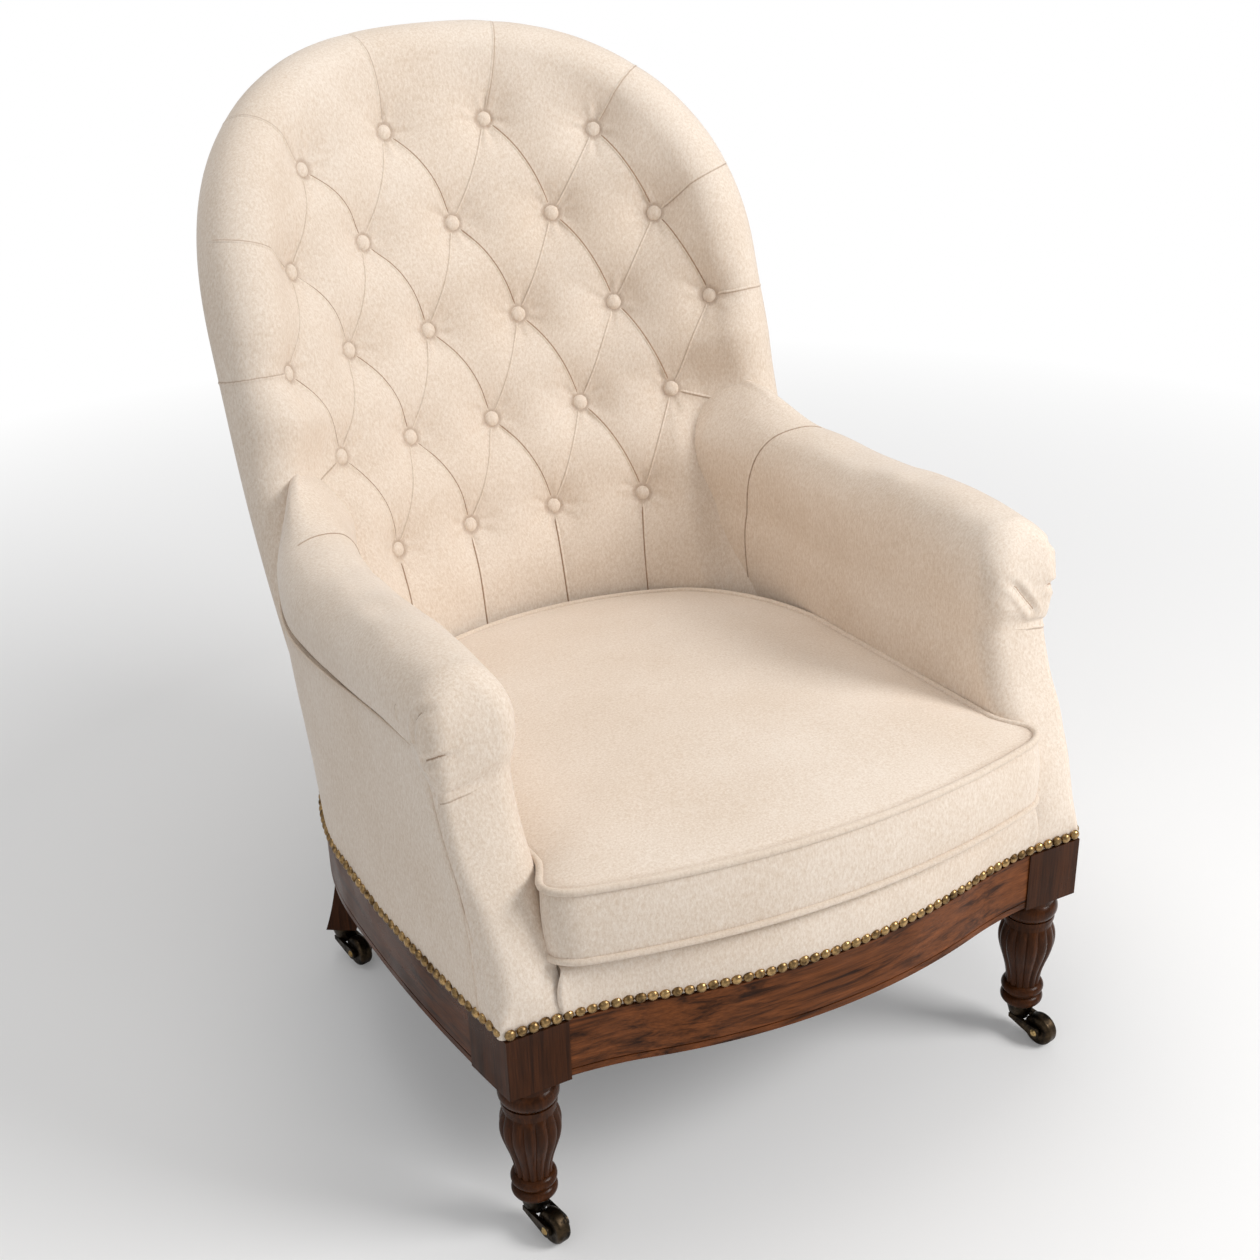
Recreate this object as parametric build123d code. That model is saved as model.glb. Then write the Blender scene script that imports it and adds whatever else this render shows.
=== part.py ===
from build123d import *
from math import asin, atan, cos, degrees, hypot, pi, radians, sin, sqrt, tan
import os

# A deep-buttoned library armchair with a concave, raked back, scrolled padded arms,
# a loose piped cushion, a show-wood seat frame and reeded front legs on casters.
# Millimetres. X to the right of someone who faces the chair, Y to its back, Z up.
# While it is drawn, Y is zero at the front faces of the front leg blocks and Z at the floor.

# Seat frame
seat_front_width = 660.0
seat_side_run = 345.0
seat_rear_radius = 362.0
rail_top = 262.0
rail_depth = 66.0
rail_thickness = 28.0
front_bow = 40.0
front_bow_set_back = 1.5
bow_turn_share = 0.70
bow_rise_share = 0.36
bead_width = 7.0
bead_groove = 1.5

# Front legs
block_width = 64.0
block_drop = 3.0
collar_radius = 30.0
reed_count = 14
reed_depth = 2.6
leg_foot_height = 43.0
tenon_radius = 9.0
tenon_length = 11.0

# Rear legs
rear_leg_angle = 32.0
rear_leg_width = 46.0
rear_foot_width = 36.0
rear_leg_throw = 30.0

# Casters
wheel_radius = 18.0
wheel_width = 16.0
caster_trail = 30.0
caster_heading = -78.0
cup_top_radius = 16.0
cup_foot_radius = 12.3
cup_foot_height = 26.0
cup_floor = 5.5
stem_radius = 4.0
axle_radius = 2.5
axle_head_radius = 4.2
axle_head = 1.6
fork_plate = 4.0
fork_crown = 5.2
fork_crown_radius = 10.0
fork_boss_radius = 7.0
wheel_gap = 0.8
running_gap = 0.05
seat_gap = 0.3
cup_rim = 3.0
wheel_round = 4.5

# Back, drawn in its own raked frame: x across, y to the rear, z up the rake
back_rake = 20.6
back_set_in = 22.0
back_foot_z = 400.0
back_half_width = 340.0
back_rise = 335.0
back_spring = 300.0
back_bottom = -240.0
arch_power = 2.4
back_thickness = 69.0
back_centre_depth = 30.5
back_plan_radius = 412.0
back_foot_tightening = 40.0
back_foot_set_in = 50.0
plan_easing_top = 200.0
rim_width = 10.0
pad_back_depth = 8.0
web_thickness = 1.6
panel_thickness = 4.0
post_width = 52.0
slat_height = 60.0
slat_foot = -60.0

# Deep buttoning
button_pitch = 120.0
button_row_pitch = 119.0
button_first_row = 46.0
button_radius = 10.0
button_height = 7.5
button_edge = 3.0
tuft_height = 22.0
tuft_gap = 4.0
tuft_root = 4.0
row_counts = (4, 5, 6, 5, 4)
row_pitch_shares = (0.95, 0.96, 1.0, 1.04, 1.08)
row_droop_shares = (0.06, 0.05, 0.19, 0.27, 0.33)

# Arms
arm_inner_x = 262.0
arm_front_y = 103.0
arm_top = 587.0
arm_roll_height = 50.0
arm_roll_overhang = 10.0
arm_roll_lip = 8.0
arm_lip_drop = 25.0
arm_pad_thickness = 25.0
arm_rear_y = 640.0
scroll_front_y = 85.0
scroll_round = 12.0
facing_top = 489.7
facing_foot_y = 4.0
facing_neck_y = 97.0
post_depth = 40.0
arm_rail_height = 20.0
arm_post_width = 44.0
side_panel_thickness = 6.0
side_panel_lean = 70.0

# Seat upholstery
seat_slope = 5.4
deck_front_height = 325.0
deck_thickness = 30.0
canvas_thickness = 2.0
spring_radius = 38.0
spring_waist = 22.0
spring_columns = 3
spring_rows = 3
spring_spacing_x = 150.0
spring_spacing_y = 135.0
spring_front_y = 130.0
web_width = 50.0
web_count_x = 4
web_count_y = 4
web_spacing_x = 115.0
web_spacing_y = 105.0
web_front_y = 150.0
border_thickness = 12.0
border_height = 58.0
dust_gap = 0.3
dust_thickness = 1.2
dust_inset = 12.0

# Cushion
cushion_half_width = 255.5
cushion_front_y = 12.0
cushion_bow = 44.0
cushion_side_rear_y = 488.0
cushion_rear_y = 604.0
cushion_height = 76.0
cushion_crown = 22.0
cushion_belly = 2.0
cushion_front_corner = 26.0
cushion_rear_corner = 90.0
piping_radius = 3.2

# Nails
nail_pitch = 12.0
nail_radius = 5.4
nail_height = 3.6
nail_crown_share = 0.5
nail_row_height = 6.0
nail_sides = 6
nail_row_margin = 25.0

# One overrun for every cut
overrun = 60.0

# Values that follow
back_foot_y = seat_side_run + seat_rear_radius - back_set_in
back_foot_plan_radius = seat_rear_radius - back_foot_tightening
back_foot_half_width = seat_rear_radius - back_foot_set_in
arm_under = arm_top - arm_roll_height - arm_lip_drop
half_front = seat_front_width / 2
rail_bottom = rail_top - rail_depth
block_bottom = rail_bottom - block_drop
block_inner = half_front - block_width
widening = seat_rear_radius - half_front
side_radius = (seat_side_run ** 2 + widening ** 2) / (2 * widening)
side_centre_x = seat_rear_radius - side_radius
front_rail_rear = front_bow_set_back + rail_thickness
leg_x = half_front - block_width / 2
leg_y = block_width / 2
turned_length = block_bottom - leg_foot_height
half_back = back_thickness / 2
rim_half_width = back_half_width - half_back
back_top = back_spring + back_rise
deck_fall = (deck_thickness + canvas_thickness) * tan(radians(seat_slope))
deck_front_y = facing_foot_y + border_thickness + deck_fall + seat_gap
deck_place = Pos(0, 0, deck_front_height) * Rot(X=-seat_slope)
back_place = Pos(0, back_foot_y, back_foot_z) * Rot(X=-back_rake)
wood_foot = rail_top


def side_x(y, inset):
    """Half-width of the seat outline at y, moved in by inset."""
    return side_centre_x + sqrt((side_radius - inset) ** 2 - (seat_side_run - y) ** 2)


def mirror_points(points):
    """The same points on the other side, in the opposite order."""
    return [(-x, y) for x, y in reversed(points)]


def closed_face(curves):
    """A face inside curves that meet end to end."""
    return Face(Wire(curves))


def seat_face(inset, front_y):
    """Plan of the seat: straight front, bowed sides, half-round rear."""
    rear = seat_rear_radius - inset
    front = (side_x(front_y, inset), front_y)
    middle_y = (front_y + seat_side_run) / 2
    middle = (side_x(middle_y, inset), middle_y)
    widest = (rear, seat_side_run)
    diagonal = (rear * cos(pi / 4), seat_side_run + rear * sin(pi / 4))
    back = (0, seat_side_run + rear)
    right = [
        ThreePointArc(front, middle, widest),
        ThreePointArc(widest, diagonal, back),
    ]
    left_points = [(-x, y) for x, y in (front, middle, widest, diagonal)]
    left = [
        ThreePointArc(back, left_points[3], left_points[2]),
        ThreePointArc(left_points[2], left_points[1], left_points[0]),
    ]
    return closed_face(right + left + [Line(left_points[0], front)])


def bow_curves(half, start_y, bow):
    """Serpentine line from -half to half: hollow at the ends, bowed forward between."""
    turn_x = half * bow_turn_share
    turn_y = start_y - bow * bow_rise_share
    middle = ThreePointArc((-turn_x, turn_y), (0, start_y - bow), (turn_x, turn_y))
    end = middle % 1
    right = TangentArc((turn_x, turn_y), (half, start_y), tangent=end)
    end_at = right @ 0.5
    left = ThreePointArc((-half, start_y), (-end_at.X, end_at.Y), (-turn_x, turn_y))
    return [left, middle, right]


def bow_band(half, start_y, bow, depth):
    """Plan face between the serpentine line and the same line moved back by depth."""
    front = bow_curves(half, start_y, bow)
    rear = bow_curves(half, start_y + depth, bow)
    sides = [
        Line((half, start_y), (half, start_y + depth)),
        Line((-half, start_y), (-half, start_y + depth)),
    ]
    return closed_face(front + rear + sides)


def block_from(x0, x1, y0, y1, z0, z1):
    """A box between two corners."""
    centre = Pos((x0 + x1) / 2, (y0 + y1) / 2, (z0 + z1) / 2)
    return centre * Box(x1 - x0, y1 - y0, z1 - z0)


def raised(face, z0, z1):
    """A plan face made solid between two heights."""
    return extrude(Pos(0, 0, z0) * face, amount=z1 - z0, dir=(0, 0, 1))


def biggest(shape):
    """The largest solid of a cut shape."""
    return max(shape.solids(), key=lambda s: s.volume)


def mirrored(shape):
    """The piece for the other side."""
    return mirror(shape, about=Plane.YZ)


def rear_leg_place():
    """Frame of a rear leg: x points outwards from the middle of the seat's round end."""
    return Pos(0, seat_side_run, 0) * Rot(Z=rear_leg_angle)


def rear_block():
    """Square head of the rear leg, from the seat outline inwards."""
    reach = seat_rear_radius - rear_leg_width
    half = rear_leg_width / 2
    box = block_from(reach, seat_rear_radius + overrun, -half, half, block_bottom, rail_top)
    return (rear_leg_place() * box) & raised(seat_face(0, 0), block_bottom, rail_top)


def groove_ring():
    """Fine groove above the lower edge that leaves a bead on the rails."""
    z0 = rail_bottom + bead_width
    outer = seat_face(0, 0)
    inner = seat_face(bead_groove, 0)
    return raised(outer - inner, z0, z0 + bead_groove)


def seat_rails():
    """Side rails and back rail, cut from one ring where the leg blocks stand."""
    ring = seat_face(0, 0) - seat_face(rail_thickness, 0)
    rails = raised(ring, rail_bottom, rail_top)
    side = seat_rear_radius + overrun
    rails -= block_from(-side, side, -overrun, block_width, 0, rail_top + overrun)
    rails -= groove_ring()
    block = rear_block()
    rails -= block
    rails -= mirrored(block)
    ordered = sorted(rails.solids(), key=lambda s: s.center().X)
    return ordered[0], ordered[1], ordered[2]


def front_rail():
    """Serpentine front rail between the leg blocks, straight inside, with its bead."""
    start = front_bow_set_back
    rear = front_rail_rear
    ends = Polyline((block_inner, start), (block_inner, rear), (-block_inner, rear),
                    (-block_inner, start))
    plan = closed_face(bow_curves(block_inner, start, front_bow) + ends.edges())
    rail = raised(plan, rail_bottom, rail_top)
    z0 = rail_bottom + bead_width
    groove = bow_band(block_inner, start, front_bow, bead_groove)
    return rail - raised(groove, z0, z0 + bead_groove)


def corner_braces(side_rail, front):
    """Glued braces behind the front corners."""
    inner_x = side_x(block_width, rail_thickness)
    reach = block_width + rail_thickness
    points = [
        (block_inner - reach, front_rail_rear),
        (block_inner, front_rail_rear),
        (block_inner, block_width),
        (inner_x + rail_thickness / 2, block_width),
        (inner_x + rail_thickness / 2, block_width + reach),
    ]
    plan = make_face(Polyline(*points, close=True))
    z0 = rail_bottom + bead_width
    brace = raised(plan, z0, rail_top - bead_width)
    brace = biggest(brace - side_rail - front)
    return Compound([brace, mirrored(brace)])


def lobed_wire(radius, depth, z):
    """One ring of convex reeds at a height."""
    step = 2 * pi / reed_count
    curves = []
    for k in range(reed_count):
        a0 = k * step
        a1 = a0 + step / 2
        a2 = a0 + step
        valley = radius - depth
        start = (valley * cos(a0), valley * sin(a0), z)
        crest = (radius * cos(a1), radius * sin(a1), z)
        end = (valley * cos(a2), valley * sin(a2), z)
        curves.append(ThreePointArc(start, crest, end))
    return Face(Wire(curves))


# Heights down the turned leg and radii, as shares of its length and of its collar radius
bulb_shares = (
    (0.285, 0.86, 0.25), (0.33, 0.955, 0.9), (0.425, 1.02, 1.0), (0.52, 0.95, 1.0),
    (0.62, 0.80, 0.9), (0.72, 0.67, 0.8), (0.785, 0.625, 0.7), (0.825, 0.63, 0.5),
)
collar_shares = (0.075, 0.205)
neck_shares = (0.235, 0.285)
lower_ring_shares = (0.82, 0.905)
foot_ring_shares = (0.915, 1.0)
neck_radius_share = 0.86
fillet_radius_share = 0.92
ring_radius_share = 0.77
ring_waist_share = 0.63


def turned_z(share):
    """Height of a share of the turned length, counted down from the block."""
    return block_bottom - share * turned_length


def ring_profile(top_share, foot_share, edge, crest):
    """Half-section of a rounded ring on the leg's axis."""
    top = turned_z(top_share)
    foot = turned_z(foot_share)
    curve = ThreePointArc((edge, 0, top), (crest, 0, (top + foot) / 2), (edge, 0, foot))
    lines = Polyline((edge, 0, foot), (0, 0, foot), (0, 0, top), (edge, 0, top))
    return Face(Wire([curve] + lines.edges()))


def turned_leg():
    """Turned and reeded part of a front leg, with the tenon that the caster cup grips."""
    edge = collar_radius * neck_radius_share
    waist = collar_radius * ring_waist_share
    ring = collar_radius * ring_radius_share
    fillet_radius = collar_radius * fillet_radius_share
    neck_top = turned_z(collar_shares[1])
    neck_foot = turned_z(neck_shares[1])
    parts = [
        revolve(ring_profile(collar_shares[0], collar_shares[1], edge, collar_radius), Axis.Z),
        revolve(ring_profile(lower_ring_shares[0], lower_ring_shares[1], waist, ring), Axis.Z),
        revolve(ring_profile(foot_ring_shares[0], foot_ring_shares[1], waist, ring), Axis.Z),
        raised(Circle(edge).face(), turned_z(collar_shares[0]), block_bottom),
        raised(Circle(fillet_radius).face(), turned_z(neck_shares[0]), neck_top),
        raised(Circle(edge).face(), neck_foot, turned_z(neck_shares[0])),
        raised(Circle(waist).face(), leg_foot_height, turned_z(lower_ring_shares[0])),
        raised(Circle(tenon_radius).face(), leg_foot_height - tenon_length, leg_foot_height),
    ]
    sections = []
    for height_share, radius_share, depth_share in bulb_shares:
        radius = collar_radius * radius_share
        sections.append(lobed_wire(radius, reed_depth * depth_share, turned_z(height_share)))
    parts.append(loft(sections))
    leg = parts[0]
    for piece in parts[1:]:
        leg += piece
    return leg


def front_leg():
    """Square block and turning of the right front leg."""
    side = seat_rear_radius + overrun
    head = block_from(block_inner, side, 0, block_width, block_bottom, rail_top)
    head &= raised(seat_face(0, 0), block_bottom, rail_top)
    return head + Pos(leg_x, leg_y, 0) * turned_leg()


def rear_leg():
    """Raked sabre leg under a square head, with the tenon for its caster cup."""
    start = seat_rear_radius - rear_leg_width / 2
    foot_x = start + rear_leg_throw
    middle_share = 0.5
    bend_share = 0.28
    middle_z = block_bottom - (block_bottom - leg_foot_height) * middle_share
    middle_x = start + rear_leg_throw * bend_share
    middle_width = (rear_leg_width + rear_foot_width) / 2
    sections = [
        Pos(start, 0, block_bottom) * Rectangle(rear_leg_width, rear_leg_width).face(),
        Pos(middle_x, 0, middle_z) * Rectangle(middle_width, middle_width).face(),
        Pos(foot_x, 0, leg_foot_height) * Rectangle(rear_foot_width, rear_foot_width).face(),
    ]
    leg = loft(sections)
    tenon = raised(Circle(tenon_radius).face(), leg_foot_height - tenon_length, leg_foot_height)
    leg += Pos(foot_x, 0, 0) * tenon
    return rear_block() + rear_leg_place() * leg


def revolved_points(points):
    """Solid turned about Z from a closed half-section."""
    corners = [(x, 0, z) for x, z in points]
    return revolve(make_face(Polyline(*corners, close=True)), Axis.Z)


def caster_cup():
    """Socket cup that grips the leg's tenon and holds the swivel stem."""
    floor = cup_foot_height + cup_floor
    bore = tenon_radius + running_gap
    hole = stem_radius + running_gap
    return revolved_points([
        (hole, cup_foot_height),
        (cup_foot_radius, cup_foot_height),
        (cup_top_radius, leg_foot_height - cup_rim),
        (cup_top_radius, leg_foot_height),
        (bore, leg_foot_height),
        (bore, floor),
        (hole, floor),
    ])


def caster_fork():
    """Crown with its stem and two arms that carry the axle; the trail is along x."""
    top = cup_foot_height - seat_gap
    foot = top - fork_crown
    inner = wheel_width / 2 + wheel_gap
    outer = inner + fork_plate
    crown = raised(Circle(fork_crown_radius).face(), foot, top)
    crown += block_from(-fork_crown_radius / 2, fork_crown_radius / 2, -outer, outer, foot, top)
    stem = raised(Circle(stem_radius).face(), foot, cup_foot_height + cup_floor - seat_gap)
    rise = (foot + top) / 2
    arm_points = [
        (-fork_crown_radius / 2, 0, top),
        (fork_crown_radius / 2, 0, top),
        (caster_trail, 0, wheel_radius + fork_boss_radius),
        (caster_trail, 0, wheel_radius - fork_boss_radius),
        (-fork_crown_radius / 2, 0, foot),
    ]
    arm = extrude(make_face(Polyline(*arm_points, close=True)), amount=fork_plate, dir=(0, 1, 0))
    boss = Cylinder(fork_boss_radius, fork_plate, rotation=(90, 0, 0))
    boss_place = Pos(caster_trail, fork_plate / 2, wheel_radius)
    arm += boss_place * boss
    hole = Pos(caster_trail, 0, wheel_radius) * Cylinder(
        axle_radius + running_gap, 2 * overrun, rotation=(90, 0, 0))
    fork = crown + stem + Pos(0, inner, 0) * arm + Pos(0, -outer, 0) * arm
    return fork - hole


def caster_axle():
    """Riveted axle with a domed head at each end."""
    half = wheel_width / 2 + wheel_gap + fork_plate
    profile = [
        (0, -half - axle_head), (axle_radius, -half - axle_head), (axle_head_radius, -half),
        (axle_radius, -half), (axle_radius, half), (axle_head_radius, half),
        (axle_radius, half + axle_head), (0, half + axle_head),
    ]
    turned = Rot(X=90) * revolved_points(profile)
    return Pos(caster_trail, 0, wheel_radius) * turned


def caster_wheel():
    """Barrel wheel with a rounded tread, bored for its axle."""
    bore = axle_radius + running_gap
    half = wheel_width / 2
    flat = half - wheel_round
    shoulder = wheel_radius - wheel_round
    diagonal = wheel_round * sin(pi / 4)
    curves = [
        Line((bore, 0, -half), (shoulder, 0, -half)),
        ThreePointArc((shoulder, 0, -half), (shoulder + diagonal, 0, -flat - diagonal),
                      (wheel_radius, 0, -flat)),
        Line((wheel_radius, 0, -flat), (wheel_radius, 0, flat)),
        ThreePointArc((wheel_radius, 0, flat), (shoulder + diagonal, 0, flat + diagonal),
                      (shoulder, 0, half)),
        Line((shoulder, 0, half), (bore, 0, half)),
        Line((bore, 0, half), (bore, 0, -half)),
    ]
    turned = Rot(X=90) * revolve(closed_face(curves), Axis.Z)
    return Pos(caster_trail, 0, wheel_radius) * turned


def caster_places():
    """Name and floor point of each swivel axis."""
    foot = seat_rear_radius - rear_leg_width / 2 + rear_leg_throw
    rear_x = foot * cos(radians(rear_leg_angle))
    rear_y = seat_side_run + foot * sin(radians(rear_leg_angle))
    return {
        "front_left": (-leg_x, leg_y),
        "front_right": (leg_x, leg_y),
        "rear_left": (-rear_x, rear_y),
        "rear_right": (rear_x, rear_y),
    }


def easing(z):
    """How far the plan has opened from the seat rail, 0 there, 1 above the arms."""
    share = (z - back_bottom) / (plan_easing_top - back_bottom)
    share = min(max(share, 0), 1)
    return sin(share * pi / 2)


def plan_radius(z):
    """Radius of the back's middle surface at a height."""
    return back_foot_plan_radius + (back_plan_radius - back_foot_plan_radius) * easing(z)


def foot_narrowing(z):
    """How much the outline draws in towards the seat rail."""
    return (back_half_width - back_foot_half_width) * (1 - easing(z))


def on_back(radius, angle, z, depth):
    """Point on the surface that lies depth behind the back's middle surface."""
    reach = radius + depth
    return (reach * sin(angle), back_centre_depth - radius + reach * cos(angle), z)


# Above the spring line the straight part of a section narrows to this share of its width
core_least_share = 0.45
core_power = 6


def slab_widths(z):
    """Half-width of the back's outline at a height, and of the part between its rounded edges."""
    if z <= back_spring:
        edge = back_half_width - foot_narrowing(z)
        return edge, edge - half_back
    share = (z - back_spring) / back_rise
    edge = back_half_width * (1 - share ** arch_power) ** (1 / arch_power)
    straight_share = rim_half_width / back_half_width
    left_share = (straight_share - core_least_share) * (1 - share ** core_power)
    return edge, edge * (core_least_share + left_share)


def slab_section(z, grow):
    """Rounded horseshoe section of the back at a height."""
    radius = plan_radius(z)
    edge_half, core_half = slab_widths(z)
    over = max(z - (back_top - half_back), 0)
    half = sqrt(half_back ** 2 - over ** 2) + grow
    nose = edge_half - core_half + grow
    angle = asin(core_half / radius)
    along = (cos(angle), -sin(angle))
    out = (sin(angle), cos(angle))
    core = on_back(radius, angle, z, 0)

    def nose_point(a, b, side):
        x = core[0] + nose * a * along[0] + half * b * out[0]
        y = core[1] + nose * a * along[1] + half * b * out[1]
        return (side * x, y, z)

    lean = sin(pi / 4)
    front_middle = on_back(radius, 0, z, -half)
    rear_middle = on_back(radius, 0, z, half)
    curves = [
        ThreePointArc(nose_point(0, -1, -1), front_middle, nose_point(0, -1, 1)),
        ThreePointArc(nose_point(0, -1, 1), nose_point(lean, -lean, 1), nose_point(1, 0, 1)),
        ThreePointArc(nose_point(1, 0, 1), nose_point(lean, lean, 1), nose_point(0, 1, 1)),
        ThreePointArc(nose_point(0, 1, 1), rear_middle, nose_point(0, 1, -1)),
        ThreePointArc(nose_point(0, 1, -1), nose_point(lean, lean, -1), nose_point(1, 0, -1)),
        ThreePointArc(nose_point(1, 0, -1), nose_point(lean, -lean, -1), nose_point(0, -1, -1)),
    ]
    return closed_face(curves)


# Heights of the back's sections: shares of the way from its foot to its spring line,
# then of the way from there to its crown
lower_shares = (0.0, 0.2, 0.42, 0.66, 0.85, 1.0)
upper_shares = (0.28, 0.52, 0.70, 0.82, 0.90, 0.95, 0.98, 0.995)


def back_slab(grow):
    """The whole rounded back, before it is cut to its seat and hollowed."""
    heights = [back_bottom + s * (back_spring - back_bottom) for s in lower_shares]
    heights += [back_spring + s * back_rise for s in upper_shares]
    sections = [slab_section(z, grow) for z in heights]
    tip = Vertex(0, back_centre_depth, back_top + grow)
    return loft(sections) + loft([sections[-1], tip], ruled=True)


def layer_section(z, near, far, half):
    """Section of a curved sheet between two depths behind the middle surface."""
    radius = plan_radius(z)
    angle = asin((half - foot_narrowing(z)) / radius)
    near_side = on_back(radius, angle, z, near)
    far_side = on_back(radius, angle, z, far)
    near_left = (-near_side[0], near_side[1], z)
    far_left = (-far_side[0], far_side[1], z)
    curves = [
        ThreePointArc(near_left, on_back(radius, 0, z, near), near_side),
        Line(near_side, far_side),
        ThreePointArc(far_side, on_back(radius, 0, z, far), far_left),
        Line(far_left, near_left),
    ]
    return closed_face(curves)


def arch_prism(inset):
    """Block with the back's inner arched outline, through its whole thickness."""
    half = rim_half_width - inset
    top = back_top - half_back - inset
    spring = top - half
    lean = half * sin(pi / 4)
    foot = back_bottom - overrun
    curves = [
        Line((-half, 0, foot), (half, 0, foot)),
        Line((half, 0, foot), (half, 0, spring)),
        ThreePointArc((half, 0, spring), (lean, 0, spring + lean), (0, 0, top)),
        ThreePointArc((0, 0, top), (-lean, 0, spring + lean), (-half, 0, spring)),
        Line((-half, 0, spring), (-half, 0, foot)),
    ]
    reach = back_plan_radius + overrun
    return extrude(closed_face(curves), amount=reach, both=True, dir=(0, 1, 0))


def layer(near, far, inset):
    """Curved sheet with the arched outline, between two depths."""
    heights = [back_bottom + s * (back_spring - back_bottom) for s in lower_shares]
    heights.append(back_top)
    half = rim_half_width - inset
    sheet = loft([layer_section(z, near, far, half) for z in heights])
    return sheet & arch_prism(inset)


def above_rails(shape, gap):
    """Cut a placed piece off flat where it stands on the seat rails."""
    side = seat_rear_radius + overrun
    reach = back_foot_y + seat_rear_radius
    return shape - block_from(-side, side, -reach, 2 * reach, -reach, rail_top + gap)


def button_place(row, column):
    """Arc position and height of a button on the back's front face."""
    count = row_counts[row]
    pitch = button_pitch * row_pitch_shares[row]
    arc = (column - (count - 1) / 2) * pitch
    outer = (count - 1) / 2 * pitch
    droop = row_droop_shares[row] * button_row_pitch * (arc / outer) ** 2
    return arc, button_first_row + row * button_row_pitch - droop


def front_point(arc, z, lift):
    """Point above the back's front face, at an arc length from the middle."""
    radius = plan_radius(z)
    angle = arc / (radius - half_back)
    return on_back(radius, angle, z, -half_back - lift)


def tuft_section(left, right, z, lift):
    """Lens across one tuft at a height."""
    a = front_point(left, z, -tuft_root)
    b = front_point(right, z, -tuft_root)
    top = front_point((left + right) / 2, z, lift)
    root = front_point((left + right) / 2, z, -tuft_root * 2)
    return closed_face([ThreePointArc(a, top, b), ThreePointArc(b, root, a)])


def tuft(foot, left, right, top):
    """One stuffed diamond between four buttons, each an (arc, height) pair."""
    middle_z = (left[1] + right[1]) / 2
    below = middle_z - foot[1]
    above = top[1] - middle_z
    centre = (left[0] + right[0]) / 2
    half = (right[0] - left[0]) / 2 - tuft_gap
    step_shares = ((0.42, 0.62), (0.78, 0.92))
    sections = []
    for step, swell in step_shares:
        z = foot[1] + below * step
        mid = foot[0] + (centre - foot[0]) * step
        sections.append(tuft_section(mid - half * step, mid + half * step, z, tuft_height * swell))
    for step, swell in reversed(step_shares):
        z = top[1] - above * step
        mid = top[0] + (centre - top[0]) * step
        sections.append(tuft_section(mid - half * step, mid + half * step, z, tuft_height * swell))
    near = tuft_gap + button_radius
    start = front_point(foot[0], foot[1] + near, -tuft_root)
    end = front_point(top[0], top[1] - near, -tuft_root)
    return loft([Vertex(*start)] + sections + [Vertex(*end)])


def beyond(left, right, reach):
    """Point above or below the middle between two buttons."""
    return (left[0] + right[0]) / 2, (left[1] + right[1]) / 2 + reach


def tufts():
    """Diamonds between the buttons, kites up to the crown and flutes down to the seat."""
    pieces = []
    last = len(row_counts) - 1
    for row, here in enumerate(row_counts):
        for column in range(here - 1):
            left = button_place(row, column)
            right = button_place(row, column + 1)
            foot = beyond(left, right, -button_row_pitch)
            top = beyond(left, right, back_top - half_back - left[1])
            if row > 0:
                under = column + (row_counts[row - 1] - here + 1) // 2
                if not 0 <= under < row_counts[row - 1]:
                    continue
                foot = button_place(row - 1, under)
            if row < last:
                over = column + (row_counts[row + 1] - here + 1) // 2
                if not 0 <= over < row_counts[row + 1]:
                    continue
                top = button_place(row + 1, over)
            pieces.append(tuft(foot, left, right, top))
    return pieces


def button_facing(arc, z):
    """Frame at a button: z points out of the back's front face."""
    reach = plan_radius(z) - half_back
    lift = reach - sqrt(reach ** 2 - button_radius ** 2) + seat_gap
    return Pos(*front_point(arc, z, lift)) * Rot(Z=-degrees(arc / reach)) * Rot(X=90)


def back_buttons():
    """Covered buttons with a domed face, each seated on the back's front face."""
    rise = button_height - button_edge
    dome = (button_radius ** 2 + rise ** 2) / (2 * rise)
    half_turn = asin(button_radius / dome) / 2
    centre = button_height - dome
    crest = (dome * sin(half_turn), 0, centre + dome * cos(half_turn))
    arc = ThreePointArc((button_radius, 0, button_edge), crest, (0, 0, button_height))
    lines = Polyline((0, 0, button_height), (0, 0, 0), (button_radius, 0, 0),
                     (button_radius, 0, button_edge))
    button = revolve(Face(Wire([arc] + lines.edges())), Axis.Z)
    solids = []
    for row, count in enumerate(row_counts):
        for column in range(count):
            solids.append(button_facing(*button_place(row, column)) * button)
    return solids


def upper_half(z, shape):
    """The part of a raked piece above a height up the rake."""
    side = back_half_width + overrun
    return shape - block_from(-side, side, -side, side, back_bottom - 2 * side, z)


def lower_half(z, shape):
    """The part of a raked piece below a height up the rake."""
    side = back_half_width + overrun
    return shape - block_from(-side, side, -side, side, z, back_top + 2 * side)


def back_woodwork():
    """Crest, two posts and a stay rail that make the hidden back frame."""
    near = pad_back_depth + web_thickness + 2 * seat_gap
    far = half_back - panel_thickness - seat_gap
    outer = layer(near, far, rim_width + seat_gap)
    inner = layer(near - overrun / 2, far + overrun / 2, rim_width + post_width)
    ring = outer - inner
    crest = biggest(upper_half(back_spring, ring))
    posts = above_rails(back_place * lower_half(back_spring, ring), 0)
    posts = sorted(posts.solids(), key=lambda s: s.center().X)
    slat_zone = layer(near, far, rim_width + post_width)
    slat = lower_half(slat_foot + slat_height, upper_half(slat_foot, slat_zone))
    return back_place * crest, posts[0], posts[-1], back_place * biggest(slat)


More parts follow.
